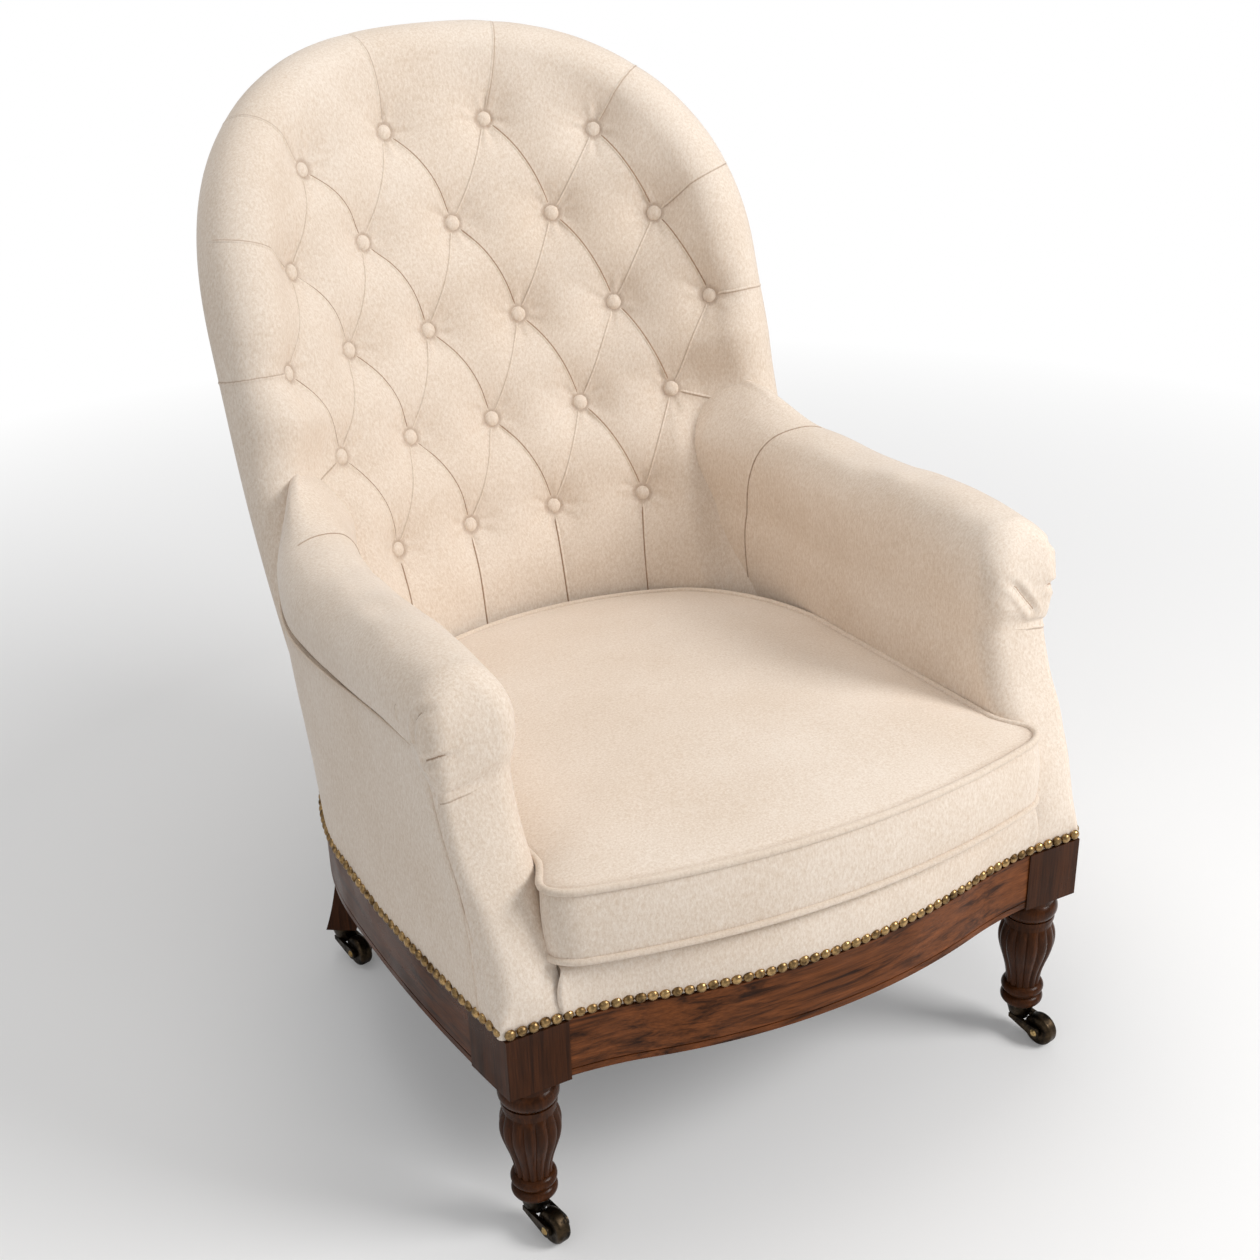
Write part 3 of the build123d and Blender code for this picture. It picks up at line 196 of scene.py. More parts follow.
def cloth_group():
    """Colour, roughness and height of brushed cloth from two tones, a thread size and a mask of painted
    crease shade.
    """
    tree = bpy.data.node_groups.new("brushed cloth", "ShaderNodeTree")
    for name, kind, value in (("Light", "Color", (0.8, 0.7, 0.6, 1)), ("Shade", "Color", (0.6, 0.5, 0.4, 1)),
                              ("Thread", "Float", 900.0), ("Crease", "Float", 0.0)):
        tree.interface.new_socket(name=name, in_out="INPUT",
                                  socket_type="NodeSocket" + kind).default_value = value
    for name, kind in (("Color", "Color"), ("Roughness", "Float"), ("Height", "Float")):
        tree.interface.new_socket(name=name, in_out="OUTPUT", socket_type="NodeSocket" + kind)
    given = node(tree, "NodeGroupInput").node.outputs
    place = node(tree, "ShaderNodeTexCoord", "Object")
    nap = node(tree, "ShaderNodeMapping", in_Vector=place, in_Scale=(1.0, 1.0, 0.45))
    patches = node(tree, "ShaderNodeTexNoise", in_Vector=place, in_Scale=7.0, in_Detail=3.0, in_Roughness=0.5)
    pile = node(tree, "ShaderNodeTexNoise", in_Vector=nap, in_Scale=430.0, in_Detail=3.0, in_Roughness=0.8)
    thread = node(tree, "ShaderNodeTexNoise", in_Vector=place, in_Scale=given["Thread"], in_Detail=2.0,
                  in_Roughness=0.5)
    fine = node(tree, "ShaderNodeMath", operation="MULTIPLY", in_0=pile, in_1=0.74)
    blend = node(tree, "ShaderNodeMath", operation="MULTIPLY_ADD", in_0=patches, in_1=0.26, in_2=fine)
    spread = node(tree, "ShaderNodeMapRange", in_Value=blend, in_From_Min=0.36, in_From_Max=0.63)
    tone = node(tree, "ShaderNodeMix", 2, data_type="RGBA", in_Factor=spread, in_6=given["Shade"],
                in_7=given["Light"])
    # Painted shade: where the crease mask is high, the colour is darkened towards a warm brown.
    fold = node(tree, "ShaderNodeMix", 2, data_type="RGBA", blend_type="MULTIPLY", in_Factor=given["Crease"],
                in_6=tone, in_7=(0.36, 0.235, 0.15, 1))
    rough = node(tree, "ShaderNodeMapRange", in_Value=pile, in_To_Min=0.78, in_To_Max=0.95)
    height = node(tree, "ShaderNodeMath", operation="MULTIPLY_ADD", in_0=thread, in_1=0.6, in_2=pile)
    node(tree, "NodeGroupOutput", in_Color=fold, in_Roughness=rough, in_Height=height)
    return tree


def shader(name, colour, **values):
    """A material, its node tree and its Principled shader with constant values on its own sockets."""
    material = bpy.data.materials.new(name)
    material.use_nodes = True
    base = material.node_tree.nodes["Principled BSDF"]
    base.inputs["Base Color"].default_value = (*colour, 1)
    for key, value in values.items():
        base.inputs[key.replace("_", " ")].default_value = value
    return material, material.node_tree, base


def feed(tree, base, **outputs):
    """Link outputs to the named sockets of a shader."""
    for key, output in outputs.items():
        tree.links.new(output, base.inputs[key.replace("_", " ")])


def cloth(name, light, shade, thread, bump):
    """Brushed cloth in two tones."""
    material, tree, base = shader(name, light, Sheen_Weight=0.30, Sheen_Roughness=0.40,
                                  Specular_IOR_Level=0.25)
    # Mask of painted shade in folds, seams and round the buttons, written by the shapes.
    mask = node(tree, "ShaderNodeAttribute", "Fac", attribute_name="crease")
    made = node(tree, "ShaderNodeGroup", node_tree=brushed, in_Light=(*light, 1), in_Shade=(*shade, 1),
                in_Thread=thread, in_Crease=mask).node.outputs
    relief = node(tree, "ShaderNodeBump", in_Height=made["Height"], in_Strength=bump, in_Distance=0.0006)
    feed(tree, base, Base_Color=made["Color"], Roughness=made["Roughness"], Normal=relief)
    return material


brushed = cloth_group()
linen = cloth("cream linen velvet", (0.82, 0.725, 0.630), (0.66, 0.535, 0.420), 1100.0, 0.22)
piping_cloth = cloth("cream piping", (0.77, 0.665, 0.56), (0.64, 0.52, 0.41), 1400.0, 0.3)
canvas = cloth("unbleached canvas", (0.60, 0.50, 0.36), (0.48, 0.39, 0.27), 600.0, 0.5)
jute = cloth("jute web", (0.42, 0.30, 0.16), (0.28, 0.19, 0.09), 350.0, 0.9)
cambric = cloth("black cambric", (0.030, 0.030, 0.034), (0.016, 0.016, 0.018), 800.0, 0.3)
print("cloths", linen.name, piping_cloth.name, canvas.name, jute.name, cambric.name)

# %% [markdown]
# A fold in the cloth is a thin rolled lip with a gap beside it, and the gap is darkened with painted
# shade. It is made once here, as a strip that hugs a finished piece along a path, and used for the
# pleats of the back, the gathers of the arm scrolls and the seam between arm and back. The strip is far
# finer than the grid of the piece below it, so its line stays crisp.

# %% Folds that hug a surface
fold_across = np.array([-3.0, -1.7, -0.7, 0.15, 0.40, 1.35, 1.9, 1.0, -2.0]) * 1e-3
fold_height = np.array([-0.20, 0.45, 0.95, 0.60, 0.22, 0.22, -0.35, -1.2, -1.2]) * 1e-3
# Painted shade across the strip: a dark line in the gap beside the lip.
fold_shade = np.array([0, 0, 0, 0.6, 1.0, 0.8, 0, 0, 0])
fold_tuck = 0.0008


def snapped(obj, points):
    """Nearest points of a mesh to an array of points, and the surface's normals there."""
    found = [obj.closest_point_on_mesh(Vector(point)) for point in points.reshape(-1, 3)]
    place = np.array([tuple(hit[1]) for hit in found]).reshape(points.shape)
    return place, np.array([tuple(hit[2]) for hit in found]).reshape(points.shape)


def fold_strip(obj, path, size=1.0, flip=1, shade=1.0, ends=(0.05, 0.05)):
    """Strip along a path on a piece: its section is set off across the path and lifted off the skin.

    Size and painted shade grow from each end over the shares of the length given by ends.
    """
    place, normal = snapped(obj, path)
    ahead = np.gradient(place, axis=0)
    side = np.cross(ahead, normal) * flip
    side /= np.linalg.norm(side, axis=1, keepdims=True)
    share = np.linspace(0, 1, len(path))
    taper = np.clip(np.minimum(share / ends[0], (1 - share) / ends[1]), 0, 1)[:, None]
    out = place[:, None] + size * (0.4 + 0.6 * taper)[..., None] * fold_across[None, :, None] * side[:, None]
    skin, up = snapped(obj, out)
    lift = size * fold_height * taper - fold_tuck * (1 - taper)
    return skin + up * lift[..., None], np.broadcast_to(fold_shade * shade * taper, lift.shape)


def fold_object(name, strips):
    """One piece from many strips, whose painted shade darkens its cloth."""
    grids, shades = zip(*strips)
    return wear(surface(name, grids, shades, seam=1e-7), linen, "linen", "root")


# %% [markdown]
# The show wood is old rosewood, nearly black with red-brown streaks under a worn French polish. Its
# grain is stretched noise along the length of each piece, so legs and rails have their own direction.
# A picture of wood would need unwrapping and repeat itself. Noise in object space does neither.

# %% Wood, brass and steel
def wood(name, dark, red, along, coat=0.25):
    """Streaked polished wood whose grain runs along one axis."""
    material, tree, base = shader(name, red, Coat_Roughness=0.16, Coat_IOR=1.3, Specular_IOR_Level=0.08)
    place = node(tree, "ShaderNodeTexCoord", "Object")
    grain = node(tree, "ShaderNodeMapping", in_Vector=place,
                 in_Scale=[5.0 if axis == along else 110.0 for axis in "xyz"])
    warp = node(tree, "ShaderNodeTexNoise", in_Vector=grain, in_Scale=1.0, in_Detail=6.0, in_Roughness=0.65,
                in_Distortion=0.6)
    pores = node(tree, "ShaderNodeTexNoise", in_Vector=grain, in_Scale=6.0, in_Detail=3.0, in_Roughness=0.6)
    worn = node(tree, "ShaderNodeTexNoise", in_Vector=place, in_Scale=14.0, in_Detail=5.0)
    streaks = ramp(tree, warp, (0.32, dark), (0.52, red), (0.74, tuple(c * 1.5 for c in red)))
    fine = node(tree, "ShaderNodeMapRange", in_Value=pores, in_From_Min=0.35, in_From_Max=0.65,
                in_To_Min=0.72, in_To_Max=1.12)
    tint = node(tree, "ShaderNodeVectorMath", operation="SCALE", in_0=streaks, in_Scale=fine)
    rough = node(tree, "ShaderNodeMapRange", in_Value=worn, in_From_Min=0.35, in_From_Max=0.7,
                 in_To_Min=0.22, in_To_Max=0.44)
    polish = node(tree, "ShaderNodeMapRange", in_Value=worn, in_From_Min=0.35, in_From_Max=0.65,
                  in_To_Min=coat, in_To_Max=0.05)
    relief = node(tree, "ShaderNodeBump", in_Height=pores, in_Strength=0.12, in_Distance=0.0006)
    feed(tree, base, Base_Color=tint, Roughness=rough, Coat_Weight=polish, Normal=relief)
    return material


def metal(name, dark, bright, smooth=0.22, dull=0.5):
    """Old metal: bright where it is rubbed, dark and duller in patches."""
    material, tree, base = shader(name, bright, Metallic=1.0)
    place = node(tree, "ShaderNodeTexCoord", "Object")
    stain = node(tree, "ShaderNodeTexNoise", in_Vector=place, in_Scale=90.0, in_Detail=6.0, in_Roughness=0.65)
    tone = ramp(tree, stain, (0.36, dark), (0.62, bright))
    rough = node(tree, "ShaderNodeMapRange", in_Value=stain, in_From_Min=0.35, in_From_Max=0.65,
                 in_To_Min=dull, in_To_Max=smooth)
    relief = node(tree, "ShaderNodeBump", in_Height=stain, in_Strength=0.25, in_Distance=0.0003)
    feed(tree, base, Base_Color=tone, Roughness=rough, Normal=relief)
    return material


rosewood_dark, rosewood_red = (0.024, 0.0075, 0.0022), (0.145, 0.045, 0.013)
rosewood_leg = wood("rosewood, upright grain", rosewood_dark, tuple(c * 0.34 for c in rosewood_red), "z")
rosewood_front = wood("rosewood, grain across", rosewood_dark, rosewood_red, "x")
rosewood_side = wood("rosewood, grain front to back", rosewood_dark,
                     tuple(c * 0.55 for c in rosewood_red), "y")
beech = wood("plain beech", (0.30, 0.19, 0.10), (0.50, 0.34, 0.19), "z", 0.0)
nail_brass = metal("antique brass nails", (0.085, 0.048, 0.020), (0.52, 0.34, 0.15))
axle_brass = metal("worn brass", (0.30, 0.19, 0.07), (0.72, 0.52, 0.24))
bronze = metal("dark patinated brass", (0.010, 0.008, 0.006), (0.070, 0.048, 0.028), 0.26, 0.55)
steel = metal("oiled steel", (0.05, 0.05, 0.055), (0.32, 0.32, 0.34))
print("woods and metals ready")

# %% [markdown]
# Frame, casters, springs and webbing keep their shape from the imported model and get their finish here.
# It is chosen by the start of the name, so that left and right parts always match.

# %% Finishes of the carried-over parts
finishes = {
    "front_rail": rosewood_front, "back_rail": rosewood_front,
    "side_rail": rosewood_side, "front_leg": rosewood_leg, "rear_leg": rosewood_leg,
    "corner_braces": beech, "arm_post": beech, "arm_rail": beech, "back_post": beech,
    "back_crest": beech, "back_slat": beech,
    "seat_webbing": jute, "back_webbing": jute, "spring_canvas": canvas, "seat_springs": steel,
    "cup": bronze, "fork": bronze, "wheel": bronze, "axle": axle_brass,
}
dressed = 0
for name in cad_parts:
    for start, material in finishes.items():
        if name.startswith(start):
            part = bpy.data.objects[name]
            part.data.materials.clear()
            part.data.materials.append(material)
            dressed += 1
print("dressed parts", dressed, "of", len(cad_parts))

# %% [markdown]
# The back is hollow towards the sitter in plan and raked. It is drawn upright in its own frame, x
# across, y to the rear, z up the rake, and then tilted. Its middle surface is part of a cylinder that
# tightens towards the seat. The stuffing is 69 mm thick and its edge is a rolled rim. Upright, the
# formulas stay plain, and the rake is one turn at the end.

# %% Frame of the back
back_rake = math.radians(20.6)
back_foot = np.array([0.0, front_y + 0.685, 0.400])
half_back = 0.0345
back_half_width, back_spring, back_rise = 0.340, 0.300, 0.335
arch_power = 2.4
centre_depth = 0.0305
plan_radius_top, plan_radius_foot = 0.412, 0.322
foot_half_width = 0.312
easing_low, easing_high = -0.240, 0.200


def easing(z):
    """0 at the foot of the back, 1 above the arms, along a quarter sine."""
    return np.sin(np.clip((z - easing_low) / (easing_high - easing_low), 0, 1) * np.pi / 2)


def plan_radius(z):
    """Radius of the back's middle surface at a height."""
    return plan_radius_foot + (plan_radius_top - plan_radius_foot) * easing(z)


def on_back(angle, z, depth):
    """Point that lies depth behind the middle surface, at an angle round its axis."""
    reach = plan_radius(z) + depth
    y = centre_depth - plan_radius(z) + reach * np.cos(angle)
    return np.stack(np.broadcast_arrays(reach * np.sin(angle), y, z), -1)


def raked(points):
    """Tilt points from the back's own frame into the chair's."""
    return tilted(points, back_rake, back_foot)


def foot_height(y):
    """Height up the rake at which a point at depth y stands on the rail."""
    return (rail_top + 0.0004 - back_foot[2] + y * math.sin(back_rake)) / math.cos(back_rake)


# %% [markdown]
# Twenty-four buttons stand in five rows of four, five, six, five and four. Pleats join each button to
# its diagonal neighbours, run down to the seat below the lowest row, and fan out over the rim round the
# outside. Those that fall to the right bow out, as in the picture, and the others are nearly straight.

# %% Buttons and pleats of the back
row_counts = (4, 5, 6, 5, 4)
row_pitch_shares = (0.95, 0.96, 1.0, 1.04, 1.08)
row_droop_shares = (0.06, 0.05, 0.19, 0.27, 0.33)
button_pitch, row_pitch, first_row = 0.120, 0.119, 0.046
button_radius, button_height = 0.010, 0.0075
ray_focus = np.array([0.0, 0.22])
falling_bow, rising_bow, ray_bow = 0.075, 0.02, 0.05
upright_leans, upright_bows = (-0.012, -0.004, -0.004, -0.022), (0.03, 0.03, 0.02, 0.02)


def button_rows():
    """Arc length and height of each button, row by row."""
    rows = []
    for k, count in enumerate(row_counts):
        column = np.arange(count) - (count - 1) / 2
        arc = column * button_pitch * row_pitch_shares[k]
        droop = row_droop_shares[k] * row_pitch * (column / column[-1]) ** 2
        rows.append(np.stack([arc, first_row + k * row_pitch - droop], -1))
    return rows


def pleat_lines(rows):
    """Lower end, upper end and bow of the diagonals, and the same of the uprights and the rays."""
    diagonals = [(a, b, falling_bow if b[0] < a[0] else rising_bow) for low, high in zip(rows, rows[1:])
                 for a in low for b in high if abs(a[0] - b[0]) < button_pitch * 0.75]
    uprights = [(a, a + np.array([lean, -0.26]), bow)
                for a, lean, bow in zip(rows[0], upright_leans, upright_bows)]
    outer = [row[i] for row in rows[1:-1] for i in (0, -1)] + list(rows[-1])
    ways = [(a - ray_focus) / np.hypot(*(a - ray_focus)) for a in outer]
    rays = [(a, a + way * 0.20, ray_bow * np.sign(a[0] + 0.1)) for a, way in zip(outer, ways)]
    return diagonals, uprights, rays


rows = button_rows()
buttons = np.concatenate(rows)
diagonals, uprights, rays = pleat_lines(rows)
print("buttons", len(buttons), "pleats", len(diagonals), len(uprights), "rays", len(rays))

# %% [markdown]
# The cloth sinks deeply at each button and only a little along the pleats between them. Its height is
# the product, over all pleats, of a valley whose depth falls off exponentially with the distance and is
# greatest next to the buttons. Round each button lie a few soft wrinkles, from waves round its centre.
# Cloth could be simulated and pulled to the buttons, but would not fold where the photographed one does.

# %% Height of the tufted stuffing
puff, root_lift = 0.0235, 0.0030
valley_reach, valley_round = 0.013, 0.003
button_sink, button_reach = 0.55, 0.021


def bowed(ends, t):
    """Points on a line that bows to its right by a share of its length."""
    a, b, bow = ends
    along = b - a
    right = np.array([along[1], -along[0]])
    t = np.asarray(t)[..., None]
    return a + t * along + 4 * t * (1 - t) * bow * right


def line_distance(u, z, ends):
    """Distance from points to a bowed line, and place along it."""
    a, b = ends[:2]
    along = b - a
    t = np.clip(((u - a[0]) * along[0] + (z - a[1]) * along[1]) / (along @ along), 0, 1)
    foot = bowed(ends, t)
    return np.hypot(u - foot[..., 0], z - foot[..., 1]), t


def tuft_height(u, z):
    """Height of the stuffing, from 0 to 1, and painted crease shade at arc length u and height z."""
    full, crease = np.ones_like(u), np.zeros_like(u)
    for lines, middle, start in ((diagonals, 0.20, 0.66), (uprights, 0.26, 0.62), (rays, 0.10, 0.60)):
        for ends in lines:
            d, t = line_distance(u, z, ends)
            near = np.abs(2 * t - 1) ** 2.5 if lines is diagonals else np.clip(1 - t / 0.35, 0, 1) ** 1.5
            depth = middle + (start - middle) * near
            reach = valley_reach * (1 + 0.7 * near)
            fall = np.exp(-(np.sqrt(d ** 2 + valley_round ** 2) - valley_round) / reach)
            full = full * (1 - depth * fall)
            # Painted shade along each pleat, strongest next to the buttons.
            crease = np.maximum(crease, 0.30 * near * np.exp(-(d / 0.005) ** 2))
    nearest, gather = np.full(u.shape, 1.0), np.zeros_like(u)
    for k, (bu, bz) in enumerate(buttons):
        d, turn = np.hypot(u - bu, z - bz), np.arctan2(z - bz, u - bu)
        nearest = np.minimum(nearest, d)
        waves = np.cos(7 * turn + 1.7 * k) + 0.7 * np.cos(11 * turn + 2.3 * k)
        gather = gather + np.exp(-((d - 0.021) / 0.011) ** 2) * waves
    full = full * (1 - button_sink * np.exp(-(nearest / button_reach) ** 1.4)) + 0.038 * gather
    full = full + 0.03 * ripple(u, z, 0.12, 3) * full
    # Painted shade round each button.
    crease = np.maximum(crease, 0.45 * (1 - step(nearest, button_radius, button_radius + 0.005)))
    return full, crease


def stuffing(arc, z, rim_arc):
    """Height of the stuffing in metres, less over the rim, beside the arms and towards the seat, and its
    painted crease shade.
    """
    full, crease = tuft_height(arc, z)
    by_arm = step(np.abs(arc), 0.225, 0.270) * (1 - step(z, 0.15, 0.215))
    height = (root_lift + (puff - root_lift) * full) * (1 - step(rim_arc, 0.0, 0.075))
    height = height * (1 - 0.9 * by_arm) * (0.55 + 0.45 * step(z, -0.13, 0.0))
    return height, crease * (1 - 0.8 * by_arm)


# %% [markdown]
# The grid runs up one side and round the arch, and a mirrored half runs down the other. Across, each
# row goes from the middle of the front to the edge, half round the rim, and back along the hollow
# behind. Rows on the arch fan out from the middle line, so the grid has no pole. The foot of the back
# stands level on the rail while the back itself is raked, so the heights of the side rows are found by
# a few rounds of correction.

# %% Tufted back
rim_core, rim_width, pad_depth = 0.3055, 0.010, 0.008
grid_step = 0.0029
face_run, side_run, arch_run, first_foot = 0.30, 0.46, 0.50, -0.14


def back_columns():
    """Share across, slide inwards, turn round the edge and reach of each column of the back."""
    front, rim, sill = int(face_run / grid_step), 28, 8
    across = [np.linspace(0, 1, front), np.ones(rim + 5), np.linspace(1, 0, sill + 1)[1:]]
    slide = [np.zeros(front + rim), rim_width * np.array([0.3, 0.7, 1, 1, 1]), np.full(sill, rim_width)]
    turn = [np.full(front, -np.pi / 2), np.linspace(-np.pi / 2, np.pi / 2, rim + 1)[1:],
            np.full(5 + sill, np.pi / 2)]
    reach = [np.full(front + rim + 3, half_back), [half_back * 0.6], np.full(1 + sill, pad_depth)]
    return [np.concatenate(part) for part in (across, slide, turn, reach)]


def arch_rows(count):
    """Core point, its outward direction and the foot of its row, evenly round a quarter of the arch."""
    fine = np.linspace(0, np.pi / 2, 4000)
    wide, rise = rim_core, back_rise - half_back
    x, z = wide * np.cos(fine) ** (2 / arch_power), rise * np.sin(fine) ** (2 / arch_power)
    run = length_along(np.stack([x, z], -1))
    at = np.interp(np.linspace(0, run[-1], count), run, fine)
    x, z = wide * np.cos(at) ** (2 / arch_power), rise * np.sin(at) ** (2 / arch_power)
    nx, nz = (x / wide) ** (arch_power - 1) / wide, (z / rise) ** (arch_power - 1) / rise
    size = np.hypot(nx, nz)
    return [part[:, None] for part in (x, back_spring + z, nx / size, nz / size, back_spring + z * 0.45)]


def on_section(x, z, out_x, out_z, turn, reach):
    """Points at a reach from the middle surface, in a direction that turns round its edge."""
    angle = np.arcsin(x / plan_radius(z))
    behind = np.stack([np.sin(angle), np.cos(angle), 0 * angle], -1)
    outward = np.stack([out_x * np.cos(angle), -out_x * np.sin(angle), out_z + 0 * angle], -1)
    way = np.cos(turn)[..., None] * outward + np.sin(turn)[..., None] * behind
    return on_back(angle, z, 0.0) + reach[..., None] * way, angle


def core_half_width(z):
    """Half-width of the rim's core beside the straight part, drawn in towards the foot."""
    return rim_core - (back_half_width - foot_half_width) * (1 - easing(z))


def side_rows(count, across, slide, turn, reach):
    """Middle points of the straight part, from the rail up to the spring of the arch."""
    level = np.linspace(0, 1, count, endpoint=False)[:, None]
    z = back_spring * level + first_foot * (1 - level) + 0 * across
    for correction in range(6):
        x = across * (core_half_width(z) - slide)
        foot = foot_height(on_section(x, z, 1 + 0 * x, 0 * x, turn, reach)[0][..., 1])
        z = foot + (back_spring - foot) * level
    return x, z, 1 + 0 * x, 0 * x


def half_of_back(side):
    """Points and painted crease shade of half of the back, in its own frame: side is 1 for right, -1 for
    left.
    """
    across, slide, turn, reach = back_columns()
    core_x, core_z, nx, nz, spine = arch_rows(int(arch_run / grid_step))
    arch = (across * (core_x - nx * slide), spine + across * (core_z - nz * slide - spine),
            nx + 0 * across, nz + 0 * across)
    side_grid = side_rows(int(side_run / grid_step), across, slide, turn, reach)
    x, z, out_x, out_z = map(np.concatenate, zip(side_grid, arch))
    rim_arc = (turn + np.pi / 2) * half_back + 0 * x
    arc = np.arcsin(x / plan_radius(z)) * (plan_radius(z) - half_back) + rim_arc * out_x
    height, crease = stuffing(arc * side, z + rim_arc * out_z, rim_arc)
    points = on_section(x, z, out_x, out_z, turn, reach + height * (slide == 0))[0]
    return points * np.array([side, 1, 1]), crease


right_half, right_crease_shade = half_of_back(1)
left_half, left_crease_shade = half_of_back(-1)
back_points = raked(np.concatenate([right_half, left_half[-2::-1]]))
# Painted crease shade of both halves, in the order of the points.
back_crease_shade = np.concatenate([right_crease_shade, left_crease_shade[-2::-1]])
inside_back = surface("inside_back", [back_points], [back_crease_shade], wrap_cols=False)
wear(inside_back, linen, "linen", "root", "inside_back")

# %% [markdown]
# Along every pleat the cloth is folded over itself, so a fine lip and a gap, darkened with painted
# shade, run from button to button. Their paths are drawn on the unrolled face. A point past the edge
# of the face lies on the rolled rim, as far round it as it is past the edge.

# %% Folds of the back
def face_edge(count=900):
    """Edge of the flat face: core point, outward direction and arc length, for the right half."""
    z = np.linspace(-0.12, back_spring, count, endpoint=False)
    side = np.stack([core_half_width(z), z, 1 + 0 * z, 0 * z], -1)
    x, height, nx, nz = (part[:, 0] for part in arch_rows(count)[:4])
    edge = np.concatenate([side, np.stack([x, height, nx, nz], -1)])
    arc = np.arcsin(edge[:, 0] / plan_radius(edge[:, 1])) * (plan_radius(edge[:, 1]) - half_back)
    return edge, arc


edge, edge_arc = face_edge()


def on_back_skin(flat):
    """Points in space of points on the unrolled face, which may lie past its edge."""
    side, arc, z = np.where(flat[:, 0] < 0, -1, 1), np.abs(flat[:, 0]), flat[:, 1]
    gap = np.stack([arc[:, None] - edge_arc, z[:, None] - edge[:, 1]], -1)
    nearest = np.argmin((gap ** 2).sum(-1), axis=1)
    picked, gap = edge[nearest], gap[np.arange(len(arc)), nearest]
    past = np.clip((gap * picked[:, 2:]).sum(-1), 0, None)
    outside = past > 1e-6
    x = np.where(outside, picked[:, 0], np.sin(arc / (plan_radius(z) - half_back)) * plan_radius(z))
    height = np.where(outside, picked[:, 1], z)
    turn = -np.pi / 2 + np.minimum(past / half_back, np.pi)
    lift = stuffing(arc * side, z, past)[0]
    points = on_section(x, height, picked[:, 2], picked[:, 3], turn, half_back + lift)[0]
    return raked(points * np.stack([side, 1 + 0 * side, 1 + 0 * side], -1))


strips = []
count = 48
for lines, last, fade in ((diagonals, None, 0.05), (uprights, 0.94, 0.02), (rays, 0.72, 0.30)):
    for ends in lines:
        first = 0.008 / np.hypot(*(ends[1] - ends[0]))
        falling = lines is not diagonals or ends[2] == falling_bow
        path = on_back_skin(bowed(ends, np.linspace(first, last or 1 - first, count)))
        # Painted shade of each fold: full on the falling pleats, weaker on the rising ones and the rays.
        size, flip, shade = (1.0, 1, 1.0) if falling else (0.8, -1, 0.3)
        shade = shade * (0.55 if lines is rays else 1.0)
        strips.append(fold_strip(inside_back, path, size, flip, shade, (0.05, fade)))
fold_object("back_folds", strips)

# %% [markdown]
# Each button is a small dome covered in the same cloth, drawn in a circle of fine gathers at its edge.
# All twenty-four share one grid, turned each time to face out of the hollow back, and one mesh, because
# they are the same piece of the model.

# %% Covered buttons
def button_grid():
    """Dome with a rolled edge: the radius follows a quarter circle, the height its crown."""
    turn = np.linspace(0, 2 * np.pi, 24, endpoint=False)
    share = np.array([0.02, 0.35, 0.62, 0.82, 0.94, 1.0, 1.0, 0.93])
    height = np.array([1.0, 0.955, 0.84, 0.66, 0.46, 0.26, 0.05, -0.10])
    edge = 1 + 0.012 * np.cos(12 * turn)[None, :] * (share[:, None] > 0.9)
    radius = button_radius * share[:, None] * edge
    lift = button_height * height[:, None] + 0 * turn
    return np.stack([radius * np.cos(turn), -lift, radius * np.sin(turn)], -1)


def place_buttons():
    """Every button turned to the curve of the back and set on its face."""
    dome = button_grid()
    arc, z = buttons[:, 0], buttons[:, 1]
    angle = arc / (plan_radius(z) - half_back)
    c, s = np.cos(angle)[:, None, None], np.sin(angle)[:, None, None]
    x = dome[..., 0] * c + dome[..., 1] * s
    y = dome[..., 1] * c - dome[..., 0] * s
    at = on_back(angle, z, -half_back)[:, None, None, :]
    return raked(np.stack([x, y, dome[..., 2] + 0 * x], -1) + at)


back_buttons = surface("back_buttons", place_buttons())
wear(back_buttons, linen, "linen", "root", "back_buttons")

# %% [markdown]
# The hollow behind the frame is closed by a flat covered panel, blind-stitched inside the rim, so it
# stands a little proud of a fine seam. It fills the same arch as the rim's core, drawn in by the rim.

# %% Outside back
def outside_half():
    """Right half of the panel: rows from the middle line to the edge, then turned under."""
    across = np.concatenate([np.linspace(0, 1, 40), np.ones(4), [0.5, 0.0]])
    tuck = np.concatenate([np.zeros(40), [0.0003, 0.0011, 0.0026, 0.0042], [0.0045, 0.0045]])
    slide = np.full(across.shape, rim_width + 0.0008)
    slide[40:44] -= [0.0003, 0.0005, 0.0005, 0.0005]
    core_x, core_z, nx, nz, spine = arch_rows(70)
    turn, reach = np.full(across.shape, np.pi / 2), half_back - tuck
    x, z = side_rows(60, across, slide, turn, reach)[:2]
    arch = (across * (core_x - nx * slide), spine + across * (core_z - nz * slide - spine))
    x, z = np.concatenate([x, arch[0]]), np.concatenate([z, arch[1]])
    crown = 0.0022 * (1 - across ** 8) + 0.0006 * ripple(x, z, 0.25, 8)
    return on_section(x, z, 0 * x, 0 * x, turn, reach + crown * (tuck == 0))[0]


half = outside_half()
panel_points = raked(np.concatenate([half, (half[::-1] * np.array([-1, 1, 1]))[1:]]))
outside_back = surface("outside_back", [panel_points], wrap_cols=False)
wear(outside_back, linen, "linen", "root", "outside_back")

# %% [markdown]
# The seat's plan sets where the arms stand. Its sides bow out on long arcs and end in a half circle.
# The arm's outer side starts on that outline at the rail and leans back as it rises.

# %% Plan of the seat
half_front, seat_side_run, seat_rear_radius = 0.330, 0.345, 0.362
widening = seat_rear_radius - half_front
side_radius = (seat_side_run ** 2 + widening ** 2) / (2 * widening)
side_centre_x = seat_rear_radius - side_radius
arm_under, side_panel_lean = 0.512, 0.070
rear_turn = math.radians(32.0)


def side_x(y):
    """Half-width of the seat outline at a depth, straight past its widest place."""
    run = np.minimum(y, seat_side_run)
    return side_centre_x + np.sqrt(side_radius ** 2 - (seat_side_run - run) ** 2)


